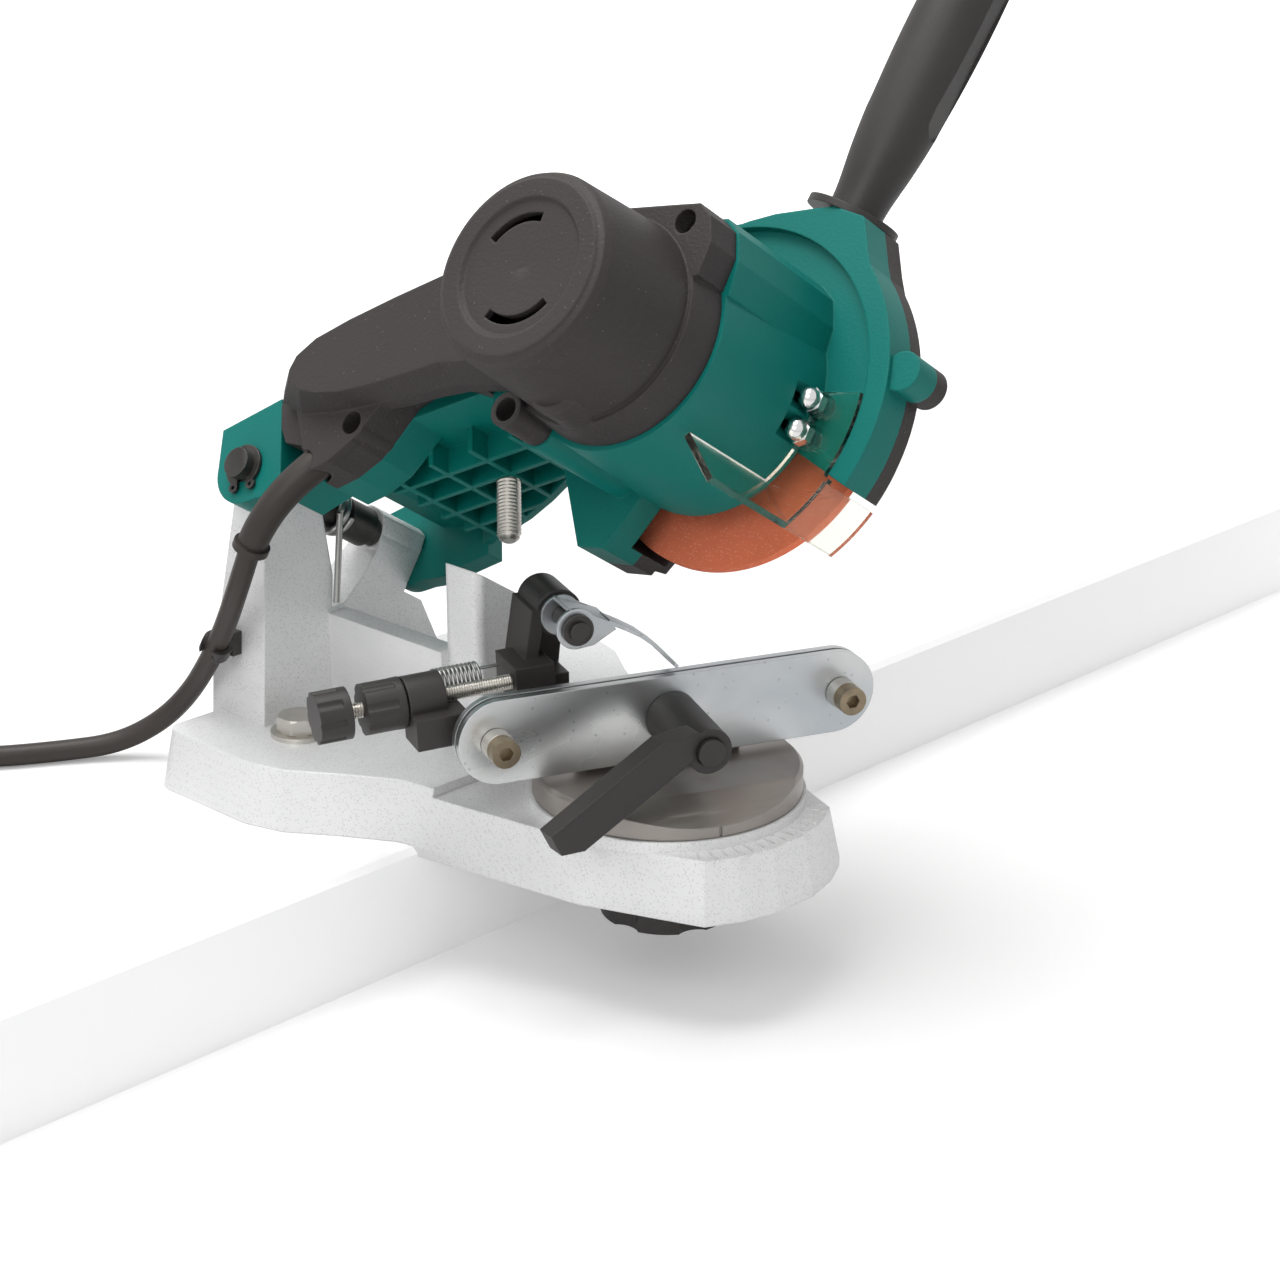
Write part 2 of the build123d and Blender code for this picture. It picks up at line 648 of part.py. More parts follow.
finger = across(outline(finger_side), -20, 20) & extrude(Pos(0, 0, -20) * outline(finger_plan), amount=40)
pawl = across(cheek, yoke_near, yoke_near + yoke_wall) + across(cheek, yoke_far - yoke_wall, yoke_far)
pawl += across(strap, yoke_near, yoke_far) + finger
put("pawl", Pos(pawl_x, 0, pawl_z) * pawl, VICE)
ext_from = holder_from + holder_length + 0.6
ext_to = 56.0
ext_turns = 11
ext_helix = Helix(pitch=(ext_to - ext_from) / ext_turns, height=ext_to - ext_from, radius=ext_radius)
ext = sweep(Plane(ext_helix @ 0, z_dir=ext_helix % 0) * Circle(ext_wire), path=ext_helix)
ext_frame = Plane(origin=(ext_from, ext_behind, ext_above), x_dir=(0, 1, 0), z_dir=(1, 0, 0))
ext = ext_frame.location * ext
ext += rod_x(ext_wire + 0.1, ext_from - 0.6, ext_from + 0.5, ext_behind + ext_radius, ext_above)
ext += rod_x(ext_wire + 0.1, ext_to - 0.5, foot_from, ext_behind + ext_radius, ext_above)
put_stop("stop_spring", ext)

# ==== grinding head: green housing =========================================================
ax = spindle
screw_lobe = polar(38.5, 33, ax, 0)
screw_boss = polar(38.5, 213, ax, 0)
arm_screw = (49, -1.6)
arm_profile = outline([
    (22, 25), (32, 27.5), (44, 29), (92, 30), (118, 26), (118, -12), (96, -3), (84, 4.5), (72, 6.5), (64, 4.5),
    (60.5, 1.5), (55.5, -3), (48.5, -8.5), (39, -12), (30, -13), (20, 2), (20, 21),
])
bracket = outline([
    (-10.5, 16.5), (15, 19.8), (15, -13.8), (5, -lobe_radius), (0, -lobe_radius),
    (-8.8, -8.8), (-lobe_radius, 0),
]) + disc(lobe_radius)
far_bracket = bracket + outline([(14, 19), (34, 23), (34, -11), (14, -13)])
hub_web = outline([(10.6, 17), (15, 18), (15, -10), (10.6, -11)])
inner_web = outline([(10.6, 17), (24, 20), (24, -8), (10.6, -11)])
plate_profile = outline([
    (14, 20), (34, 24), (92, 30), (118, 30), (118, rib_plate_q), (60, rib_plate_q), (24, rib_plate_q),
    (14, 5),
])
plate_void = outline([(27, rib_plate_q + 5), (27, 18), (92, 26), (108, 26), (108, rib_plate_q + 5)])
housing = across(bracket, near_lobe_out, near_lobe_in)
housing += across(hub_web, near_lobe_out, arm_back) + across(inner_web, arm_parting, arm_back)
housing += across(far_bracket, far_lobe_in, far_lobe_out)
housing += across(arm_profile, arm_parting, arm_back)
plate = across(plate_profile, arm_parting, far_lobe_out)
plate -= across(plate_void, arm_back + shell, far_lobe_out - shell)
plate -= rod_y(guard_top_radius + gap, guard_split, far_lobe_out + 1, ax)
for p in (40, 56, 72, 88):
    plate += block(p - rib_half, p + rib_half, arm_back, far_lobe_out, rib_plate_q - rib_depth, rib_plate_q + 1)
for y in (-36, -24, -12, 0):
    plate += block(34, step_p, y - rib_half, y + rib_half, rib_plate_q - rib_depth, rib_plate_q + 1)
arm_region = outline(arm_plan)
edge_wall = arm_region - offset(arm_region, -shell)
edge_wall = extrude(Pos(0, 0, rib_plate_q - rib_depth) * edge_wall, amount=24)
plate += edge_wall & block(32, step_p, arm_back, far_lobe_out, rib_plate_q - rib_depth, rib_plate_q + 14)
plate &= extrude(Pos(0, 0, -40) * arm_region, amount=100)
housing += plate
ridge = outline([
    (ax, 0), (ax, 35), (ax + 12, 34.5), (ax + 31, 28), (ax + 39, 25.5), (ax + 42.5, 19.5), (ax + 42, 10), (ax + 38, 0),
])
housing += cone_y(barrel_out, barrel_out + 2, parting, guard_near, ax)
housing += across(ridge, parting, guard_near)
housing += head_rod(6.5, parting, guard_near, screw_boss)
housing += across(outline([(step_p, 28), (ax, 28), (ax, -20), (step_p, -8)]), parting, arm_back)

covered = sector(2 * guard_radius, guard_start - 360, guard_cut, ax)
handle_pad = outline([
    polar(guard_top_radius, 100, ax), polar(58.2, 74, ax), polar(60.6, 65, ax), polar(65.4, 52, ax),
    polar(71.5, 42, ax), polar(71, 36, ax), polar(65, 27, ax), polar(62, 18, ax), (ax, 10),
])
rear_block = outline([
    (ax - 57, 0), (ax - 53.5, -20), (ax - 50.5, -39), (ax - 41, -42.5), (ax - 35, -38), (ax - 25, -29),
    (ax - 20, 0),
])
rim = (disc(guard_top_radius, ax) + sector(guard_radius, guard_cut, guard_step, ax)) - covered
lug_centre = polar(66.8, -11.2, ax)
block_screw = (ax - 46.5, -36)
top_screw = polar(59.8, 60, ax)
guard_shape = rim + handle_pad + rear_block
housing += across(guard_shape, guard_near, guard_split)
housing += across(guard_shape - disc(guard_inner, ax), guard_ridge, guard_near)
housing += across(rear_block, guard_near - 8, guard_near)
housing += head_rod(6.4, guard_near - 1.5, guard_split, lug_centre)
handle_x, handle_z = polar(handle_at, handle_spot, ax, 0)
HANDLE = Plane(origin=(handle_x, handle_y, handle_z), x_dir=(0, 1, 0),
               z_dir=(cos(radians(handle_angle)), 0, sin(radians(handle_angle))))
handle_boss = HANDLE.location * rod_z(8.4, -14, 0)
housing += handle_boss

barrel_floor = guard_near - shell
housing -= rod_y(guard_cavity, guard_near + guard_wall, guard_far, ax)
housing -= across(covered - disc(barrel_out + 2, ax) - rear_block, guard_near - 0.01, guard_far)
housing -= cone_y(barrel_out - shell, barrel_out - shell + 2, parting - 1, barrel_floor, ax)
housing -= across(offset(arm_profile, -shell), parting - 1, arm_back - shell)
housing -= across(outline([(step_p + 3, 24), (ax, 24), (ax, -10), (step_p + 3, -3)]), parting - 1,
                  arm_back - shell)
housing += rod_y(bearing_outer + 3.5, barrel_floor - bearing_width, barrel_floor, ax)
housing -= rod_y(bearing_outer, barrel_floor - bearing_width - 1, barrel_floor, ax)
housing -= rod_y(bearing_outer - 3, barrel_floor - 1, guard_near + 5, ax)
housing += across(disc(5, *arm_screw), arm_parting, arm_back)
shield_screws = [polar(40.8, -23.1, ax), polar(40.8, -37.6, ax)]
acorn_radius = 4.0
acorn_seat = shield_back - shield_thick
for centre in shield_screws:
    housing += head_rod(4.2, shield_back, guard_near + guard_wall, centre)
    housing -= head_rod(shield_thread, -30, 0, centre)
    housing -= head_rod(acorn_radius + 0.9, acorn_seat - 9, acorn_seat, centre)
housing -= rod_y(pin_radius + fit, near_lobe_out - 5, far_lobe_out + 5)
housing -= rod_z(stud_radius + fit, -60, 60, stop_stud_p, stop_stud_y)
housing -= HANDLE.location * rod_z(stud_radius, -12, 5)
for centre, seat in ((screw_lobe, parting), (screw_boss, parting), (arm_screw, arm_parting)):
    housing -= head_rod(case_thread, seat - 1, seat + 14.5, centre)
for centre in (lug_centre, block_screw, top_screw):
    housing -= head_rod(case_thread, guard_split - guard_screw_in, guard_far, centre)
housing -= block(switch_p0, switch_p1, switch_y0, switch_y1, switch_top - 8, switch_top + 4)
housing -= rod_y(guard_top_radius + gap, guard_split, far_lobe_out + 1, ax)
housing -= HANDLE.location * block(-20, 20, -20, 20, 0, 20)
put("arm_housing", housing, HEAD)

# ==== grinding head: black cover over arm and motor ========================================
crest = [
    (30.5, 15), (31, 19), (34, 23), (42, 26.5), (56, 28.5), (75, 30), (95, 31), (124, 30),
    (124, -9), (102, -1.6), (91, 1.5), (80, 2), (66, 2.8), (52, 4.5), (43, 7), (35.5, 10.5),
]
foot = [
    (20, 15), (20.5, 19), (24, 23.5), (34, 27), (50, 29.5), (72, 31), (95, 32), (124, 31),
    (124, -12), (104, -6.5), (93, -2.8), (81, -1), (68, 0.2), (55, 2.2), (42.5, 4), (28, 8),
]
clamp_block = outline([(25.5, 12), (31, -13), (39, -12), (48.5, -8), (55.5, -3), (62, 2), (66, 8), (50, 12)])
cover_shape = outline([
    (18, 21), (24, 26), (34, 28), (44, 29), (92, 30), (step_p, 29.5), (step_p, -4), (84, 4.5),
    (72, 6.5), (64, 4.5), (60.5, 1.5), (55.5, -3), (48.5, -8.5), (39, -12), (30, -13), (24, 0), (17.5, 3),
    (15.5, 9), (15.5, 17),
])
motor_side = outline([(step_p - 8, 30), (ax - 20, 30), (ax - 20, -11), (step_p - 8, -0.5)])


def drawn_in(points, y0, more, y1):
    """Straight-sided body between two outlines with the same number of points."""
    faces = []
    for pts, y in ((points, y0), (more, y1)):
        faces.append(Plane(origin=(0, y, 0), x_dir=(1, 0, 0), z_dir=(0, -1, 0)) * outline(pts))
    return loft(faces, ruled=True)


hood_centre = polar(*hood_spot, ax)
cover = drawn_in(crest, arm_face, foot, clamp_face)
cover += across(outline(foot), clamp_face, -70)
cover += across(clamp_block, clamp_face, -70)
cover += across(cover_shape, -71, arm_parting) + across(motor_side, -71, parting)
cover += cone_y(motor_radius - 0.5, motor_foot_radius, motor_face + cap_deep, flange_face + 1, ax)
cap = outline([
    (0, motor_face + cap_dish),
    (dish_radius, motor_face + cap_step),
    (dish_radius + cap_step, motor_face),
    (cap_ring, motor_face),
    (cap_ring + 0.8, motor_face + 0.9),
    (motor_radius - 1.6, motor_face + 1.5),
    (motor_radius - 0.5, motor_face + cap_deep),
    (motor_radius - 0.5, motor_face + cap_deep + 1),
    (0, motor_face + cap_deep + 1),
])
cover += Pos(ax, 0, 0) * revolve(cap, Axis.Y)
cover += cone_y(hood_radius - 1.5, hood_radius, hood_near, hood_near + 2, *hood_centre)
cover += head_rod(hood_radius, hood_near + 2, flange_face + 1, hood_centre)
cover += cone_y(flange_radius - 1.4, flange_radius, flange_face, parting, ax)
lobe = outline([
    (ax, 0), (ax + 8, 34.2), (ax + 30, 27.5), (ax + 38, 25), (ax + 41.5, 19.5), (ax + 41, 11), (ax + 36, 2),
])
cover += across(lobe, flange_face, parting)
cover += head_rod(5.6, flange_face - 3, parting, screw_boss)
cover -= across(offset(cover_shape, -shell), -71 + shell, arm_parting + 1)
cover -= across(outline([(step_p - 5, 26), (ax - 20, 26), (ax - 20, -6), (step_p - 5, 0.5)]), -71 + shell, parting + 1)
cover -= drawn_in([(x + 1.5, z) for x, z in crest[:7]] + crest[7:], arm_face + shell, foot, clamp_face + 9) & across(
    offset(outline(foot), -shell - 1), arm_face, clamp_face + 9)
cover -= rod_y(bore_radius, motor_face + cap_deep + 0.4, -60, ax)
cover += rod_y(bearing_outer + 2.5, motor_face + 2, rear_bearing_y + bearing_width, ax)
cover -= rod_y(bearing_outer, rear_bearing_y, rear_bearing_y + bearing_width + 1, ax)
cover += across(disc(5.5, *arm_screw), clamp_face, arm_parting)
for centre, seat in ((screw_lobe, parting), (screw_boss, parting), (arm_screw, arm_parting)):
    cover -= head_rod(case_head + 0.4, -100, seat - seat_depth, centre)
    cover -= head_rod(case_thread + 0.2, seat - 10, seat + 1, centre)
cover -= across((disc(vent_outer, ax) - disc(vent_inner, ax)) & (sector(25, 60, 128, ax) + sector(25, -140, -58, ax)),
                motor_face - 2, motor_face + cap_deep + 1)
gland_from = Vector(*cord_route[0])
gland_to = Vector(*cord_route[1])
gland_dir = (gland_to - gland_from).normalized()
GLAND = Plane(origin=gland_from, z_dir=gland_dir)
gland_hole = HEAD.location.inverse() * GLAND.location * Pos(0, 0, 5.5) * Cone(sleeve_radius, sleeve_radius + 1.8, 17)
cover -= gland_hole
put("motor_cover", cover, HEAD)

# ==== screws of the plastic housings =======================================================
case = []
for centre, seat in ((screw_lobe, parting), (screw_boss, parting), (arm_screw, arm_parting)):
    top = seat - seat_depth
    shape = head_rod(case_head, top - 2.4, top, centre) + head_rod(case_thread, top, seat + 14, centre)
    case.append(shape - Pos(centre[0], 0, centre[1]) * across(RegularPolygon(1.6, 6), top - 3, top - 1))
put("case_screws", Compound(children=case), HEAD)
guard_set = []
for centre in (lug_centre, block_screw, top_screw):
    shape = head_rod(case_head, guard_seat, guard_seat + 2.4, centre)
    guard_set.append(shape + head_rod(case_thread, guard_split - guard_screw_in, guard_seat, centre))
put("guard_screws", Compound(children=guard_set), HEAD)

# ==== wheel guard's black half =============================================================
taper = guard_radius - guard_far_radius
guard_cover = rod_y(guard_radius, guard_split, 0, ax) + cone_y(guard_radius, guard_radius - taper, 0, guard_far, ax)
guard_cover &= across(sector(2 * guard_radius, guard_cut, guard_step, ax), guard_split, guard_far)
guard_cover += rod_y(guard_top_radius, guard_split, 3, ax) + cone_y(guard_top_radius, guard_far_radius, 3, guard_far, ax)
guard_cover += across(handle_pad, guard_split, 2)
guard_cover += across(rear_block, guard_split, 4)
guard_cover -= across(covered - rear_block, -30, 30)
guard_cover -= rod_y(guard_cavity, guard_split - 1, guard_far - guard_wall, ax)
guard_cover += head_rod(6.4, guard_split, 0, lug_centre)
guard_cover += cone_y(19, 17, guard_far - 0.5, guard_far + 5, ax) - rod_y(15, guard_far - 3, guard_far + 3, ax)
guard_cover -= rod_y(15, guard_far - guard_wall - 1, guard_far, ax)
guard_cover -= HANDLE.location * rod_z(8.4, -20, 5)
guard_cover -= HANDLE.location * block(-20, 20, -20, 20, 0, 20)
for centre in (lug_centre, block_screw, top_screw):
    guard_cover -= head_rod(case_head + 0.3, guard_seat, 20, centre)
    guard_cover -= head_rod(case_thread + 0.2, guard_split - 1, 1, centre)
put("guard_cover", guard_cover, HEAD)

# ==== handle ===============================================================================
grip_line = Spline((handle_root_radius, 2.5), (handle_root_radius + 1.6, 18), (handle_grip_radius, 50),
                   (handle_grip_radius, handle_length - 16), (handle_grip_radius - 4, handle_length - 2.5),
                   tangents=((0, 1), (-1, 0.35)))
grip_face = make_face([grip_line,
                       Polyline(grip_line @ 1, (0, handle_length), (0, 0), (handle_flange_radius, 0),
                                (handle_flange_radius, 2.5), (handle_root_radius, 2.5))])
grip = revolve(Plane.XZ * grip_face, Axis.Z)
flute = Pos(0, 0, 0) * extrude(Plane(origin=(0, -handle_grip_radius - 1, 62), x_dir=(0, 0, 1), z_dir=(0, 1, 0))
                               * SlotOverall(58, 13), amount=3.2)
for turn in (20, 200):
    grip -= Rot(0, 0, turn) * flute
grip -= rod_z(stud_radius, -1, 32)
put("handle", HEAD.location * HANDLE.location * grip)
put("handle_stud", HEAD.location * HANDLE.location * rod_z(stud_radius, -12, 32))

# ==== eye shield ===========================================================================
face_y = acorn_seat
shield = across((sector(55.4, guard_cut - 4, shield_top, ax) - disc(shield_inner, ax)), face_y, shield_back)
shield += across(sector(shield_outer, shield_low, guard_cut - 1, ax) - disc(shield_inner, ax), face_y, shield_back)
shield += across(sector(shield_outer, shield_low, guard_cut - 2.5, ax) - disc(shield_outer - shield_thick, ax),
                 face_y, shield_wall_end)
flap = block(shield_inner, shield_outer, face_y - shield_flap, shield_back, 0, shield_thick)
shield += Pos(ax, 0, 0) * Rot(0, -shield_low, 0) * flap
for centre in shield_screws:
    shield -= head_rod(shield_thread, -60, 0, centre)
put("eye_shield", shield, HEAD)
acorns = []
pins = []
for centre in shield_screws:
    nut = Pos(centre[0], 0, centre[1]) * across(RegularPolygon(acorn_radius, 6), face_y - 3.2, face_y)
    nut += head_rod(3.4, face_y - 4.5, face_y, centre)
    nut += Pos(centre[0], face_y - 4.5, centre[1]) * Sphere(3.4)
    acorns.append(nut - head_rod(shield_thread, face_y - 5, face_y + 1, centre))
    back = guard_near + guard_wall
    pins.append(head_rod(shield_thread, face_y - 5, back, centre) + head_rod(3.6, back, back + 2.4, centre))
put("acorn_nuts", Compound(children=acorns), HEAD)
put("shield_screws", Compound(children=pins), HEAD)

# ==== depth stop ===========================================================================
stud_top = knob_seat + stop_knob_height
put("depth_stop", rod_z(stud_radius, stop_stud_tip, stud_top - 2, stop_stud_p, stop_stud_y), HEAD)
stop_knob = Circle(stop_knob_radius)
for i in range(knob_lobes):
    stop_knob -= disc(4, *polar(stop_knob_radius + 2.4, 360 / knob_lobes * (i + 0.5)))
stop_knob = Pos(stop_stud_p, stop_stud_y, knob_seat) * extrude(stop_knob, amount=stop_knob_height)
stop_knob -= rod_z(stud_radius, knob_seat - 1, stud_top - 2, stop_stud_p, stop_stud_y)
put("depth_stop_knob", stop_knob, HEAD)

# ==== motor ================================================================================
shaft_back = rear_bearing_y + 1
shaft = rod_y(shaft_radius, shaft_back, wheel_nut_y1 + 1.5, ax)
put("motor_shaft", shaft, HEAD)
bearings = []
for y in (rear_bearing_y, barrel_floor - bearing_width):
    bearings.append(rod_y(bearing_outer, y, y + bearing_width, ax) - rod_y(shaft_radius + fit, y - 1, y + bearing_width + 1,
                                                                          ax))
put("bearings", Compound(children=bearings), HEAD)
core = rod_y(rotor_radius, rotor_y0, rotor_y1, ax) - rod_y(shaft_radius, -200, 50, ax)
for i in range(rotor_slots):
    x, z = polar(rotor_radius - 2, 360 / rotor_slots * i, ax)
    core -= rod_y(1.4, rotor_y0 - 1, rotor_y1 + 1, x, z)
put("rotor_core", core, HEAD)
ends = []
for y0, y1 in ((rotor_y0 - winding, rotor_y0), (rotor_y1, rotor_y1 + winding)):
    ends.append(rod_y(rotor_radius - 2.5, y0, y1, ax) - rod_y(shaft_radius, y0 - 1, y1 + 1, ax))
put("rotor_windings", Compound(children=ends), HEAD)
comm = rod_y(commutator_radius, commutator_y0, rotor_y0 - winding, ax) - rod_y(shaft_radius, -200, 0, ax)
put("commutator", comm, HEAD)
fan = rod_y(7, fan_y0, fan_y1, ax) + rod_y(fan_radius, fan_y1 - 1.5, fan_y1, ax)
for i in range(fan_blades):
    blade = block(6, fan_radius - 0.5, fan_y0, fan_y1 - 1, -0.8, 0.8)
    fan += Pos(ax, 0, 0) * Rot(0, 360 / fan_blades * i, 0) * blade
put("cooling_fan", fan - rod_y(shaft_radius, -200, 0, ax), HEAD)
yoke = rod_y(bore_radius, rotor_y0, rotor_y1, ax) - rod_y(bore_radius - 4, rotor_y0 - 1, rotor_y1 + 1, ax)
for angle in (0, 180):
    pole = (sector(bore_radius - 2, angle - 24, angle + 24, ax) - disc(rotor_radius + 0.8, ax))
    yoke += across(pole, rotor_y0, rotor_y1)
put("stator", yoke, HEAD)
coils = []
for angle in (90, 270):
    sector_face = sector(bore_radius - 4, angle - 55, angle + 55, ax) - disc(bore_radius - 9, ax)
    coils.append(across(sector_face, rotor_y0 - 4, rotor_y1 + 4))
put("field_coils", Compound(children=coils), HEAD)
brush_y = (commutator_y0 + rotor_y0 - winding) / 2
holders = []
carbons = []
for side in (-1, 1):
    tube = block(commutator_radius + 2, bore_radius, brush_y - 4, brush_y + 4, -5, 5)
    tube &= rod_y(bore_radius - fit, brush_y - 5, brush_y + 5)
    tube -= block(0, bore_radius - 1.5, brush_y - 2.5, brush_y + 2.5, -3.5, 3.5)
    carbon = block(commutator_radius + 0.2, bore_radius - 5, brush_y - 2.5, brush_y + 2.5, -3.5, 3.5)
    spin = Pos(ax, 0, 0) * Rot(0, 90 + 90 * side, 0)
    holders.append(spin * tube)
    carbons.append(spin * carbon)
put("brush_holders", Compound(children=holders), HEAD)
put("carbon_brushes", Compound(children=carbons), HEAD)

# ==== grinding wheel =======================================================================
half = wheel_thick / 2
wheel = rod_y(wheel_radius, -half, half, ax) - rod_y(wheel_bore, -half - 1, half + 1, ax)
put("grinding_wheel", wheel, HEAD)
hub_piece = rod_y(clamp_flange_radius, -half - flange_thick, -half, ax) + rod_y(wheel_bore, -half, half - 0.2, ax)
put("wheel_hub", hub_piece - rod_y(shaft_radius, -20, 20, ax), HEAD)
plate = rod_y(clamp_flange_radius, half, half + flange_thick, ax) - rod_y(shaft_radius, -20, 20, ax)
put("wheel_washer", plate, HEAD)
nut = Pos(ax, 0, 0) * across(RegularPolygon(7.5, 6), half + flange_thick, wheel_nut_y1)
put("wheel_nut", nut - rod_y(shaft_radius, -20, 20, ax), HEAD)

# ==== switch and cord clamp ================================================================
body = block(switch_p0, switch_p1, switch_y0, switch_y1, switch_top - switch_deep, switch_top)
body += block(switch_p0 - 1.4, switch_p1 + 1.4, switch_y0 - 1.4, switch_y1 + 1.4, switch_top, switch_top + 1.4)
body -= block(switch_p0 + 1, switch_p1 - 1, switch_y0 + 1, switch_y1 - 1, switch_top - 3.5, switch_top + 3)
rocker_p = (switch_p0 + switch_p1) / 2
rocker_pivot = switch_top - 1.6
body -= rod_y(pivot_radius + fit, switch_y0 + 0.2, switch_y1 - 0.2, rocker_p, rocker_pivot)
put("switch_body", body, HEAD)
rocker_half = (switch_p1 - switch_p0) / 2 - 1.6
rocker_face = outline([
    (rocker_p - 2, switch_top - 2.6), (rocker_p + 2, switch_top - 2.6), (rocker_p + rocker_half, switch_top + 0.6),
    (rocker_p + rocker_half - 0.4, switch_top + 3.2), (rocker_p, switch_top + 1.6),
    (rocker_p - rocker_half, switch_top + 1.4), (rocker_p - rocker_half, switch_top - 0.4),
])
rocker = across(rocker_face, switch_y0 + 1 + gap, switch_y1 - 1 - gap)
rocker += rod_y(pivot_radius, switch_y0 + 0.3, switch_y1 - 0.3, rocker_p, rocker_pivot)
put("rocker", rocker, HEAD)

# ==== mains lead ===========================================================================
route = [Vector(*point) for point in cord_route]
radii = []
for i in range(1, len(route) - 1):
    before = route[i] - route[i - 1]
    after = route[i + 1] - route[i]
    turn = radians(before.get_angle(after))
    radii.append(0.45 * min(before.length, after.length) / tan(turn / 2))
print("cord radii", [round(r) for r in radii])
cord_path = FilletPolyline(*route, radius=radii)
print("cord length on its route", round(cord_path.length))
cord = sweep(Plane(origin=cord_path @ 0, z_dir=cord_path % 0) * Circle(cord_radius), path=cord_path)
turn_inner = coil_turn_radius - cord_radius
turn_outer = coil_turn_radius + cord_radius
ring_face = Pos(coil_turn_radius, coil_floor + 3 * cord_radius) * RectangleRounded(
    4 * cord_radius, 6 * cord_radius, cord_radius - 0.1)
ring = Pos(*coil_centre, 0) * revolve(Plane.XZ * ring_face, Axis.Z)
put("cord_coil", ring)
put("cord", cord)
print("turns", coil_turns, "length in them", round(2 * pi * coil_turn_radius * coil_turns))

stations = [0.0, 0.3, 0.65, 1.0]
sleeve_end = sleeve_share
sections = []
for share in stations:
    t = sleeve_end * share
    width = sleeve_radius - (sleeve_radius - sleeve_tip) * share
    sections.append(Plane(origin=cord_path @ t, z_dir=cord_path % t) * Circle(width))
sleeve = loft(sections)
collar = Plane(origin=cord_path @ sleeve_end, z_dir=cord_path % sleeve_end)
sleeve += collar.location * rod_z(sleeve_tip + 1.1, -1.2, 1.2)
sleeve -= sweep(Plane(origin=cord_path @ 0, z_dir=cord_path % 0) * Circle(cord_radius + gap), path=cord_path)
put("strain_relief", sleeve)

clip_at = clip_share
CLIP = Plane(origin=cord_path @ clip_at, z_dir=cord_path % clip_at)
clip_ring = rod_z(cord_radius + 1.6, -2.5, 2.5) - rod_z(cord_radius, -4, 4)
clip = CLIP.location * clip_ring
clip -= Pos(*tuple(cord_path @ clip_at)) * block(-20, -2.6, -3.0, 3.0, -8, 8)
spot = cord_path @ clip_at
foot_block = block(spot.X + cord_radius + 0.8, spot.X + cord_radius + 6, spot.Y - 3, spot.Y + 3, spot.Z - 4, spot.Z + 4)
put("cord_clip", clip + foot_block - nodes["base_casting"] - nodes["cord"])

exit_dir = Vector(*coil_exit_dir)
plug_root = Vector(*coil_exit)
PLUG = Plane(origin=plug_root, x_dir=Vector(0, 0, 1).cross(exit_dir), z_dir=exit_dir)
rise = plug_thick / 2 + coil_floor - plug_root.Z
neck = loft([Circle(cord_radius + 0.4), Pos(0, rise, 12) * Circle(cord_radius + 1),
             Pos(0, rise, 26) * Ellipse(8, plug_thick / 2 - 1)])
plug_body = Pos(0, rise, 25) * extrude(RectangleRounded(plug_width, plug_thick, plug_thick / 2 - 0.5), amount=plug_long)
plug = PLUG.location * (neck + plug_body) - ring
blades = []
for side in (-1, 1):
    blade = Pos(side * plug_pitch / 2, rise, 25 + plug_long - 6) * Cylinder(plug_pin, 6 + 19, align=(
        Align.CENTER, Align.CENTER, Align.MIN))
    blades.append(PLUG.location * blade)
    plug -= PLUG.location * blade
put("plug", plug)
put("plug_pins", Compound(children=blades))

for name, shape in nodes.items():
    export_step(shape, f"parts/{name}.step")
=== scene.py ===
import json
import logging
import math
from dataclasses import dataclass, field
from enum import Enum
from functools import cached_property

import bmesh
import bpy
from mathutils import Matrix, Vector


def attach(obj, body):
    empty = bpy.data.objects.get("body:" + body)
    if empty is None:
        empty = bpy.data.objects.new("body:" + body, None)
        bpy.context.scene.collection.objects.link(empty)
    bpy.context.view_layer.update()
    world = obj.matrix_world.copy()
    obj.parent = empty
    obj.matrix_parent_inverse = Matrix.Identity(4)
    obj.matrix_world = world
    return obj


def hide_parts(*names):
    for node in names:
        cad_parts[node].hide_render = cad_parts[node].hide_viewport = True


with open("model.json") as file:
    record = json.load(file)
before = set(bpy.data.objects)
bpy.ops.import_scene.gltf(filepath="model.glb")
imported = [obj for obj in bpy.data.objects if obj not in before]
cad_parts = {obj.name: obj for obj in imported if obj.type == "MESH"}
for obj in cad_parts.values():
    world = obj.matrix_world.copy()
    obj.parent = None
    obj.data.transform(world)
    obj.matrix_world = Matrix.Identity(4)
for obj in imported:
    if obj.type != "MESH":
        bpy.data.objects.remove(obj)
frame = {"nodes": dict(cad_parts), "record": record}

LOG = logging.getLogger("chain_sharpener")
MM = 0.001
RGB = tuple[float, float, float]
Point = tuple[float, float, float]
Value = bpy.types.NodeSocket | float | tuple[float, ...]
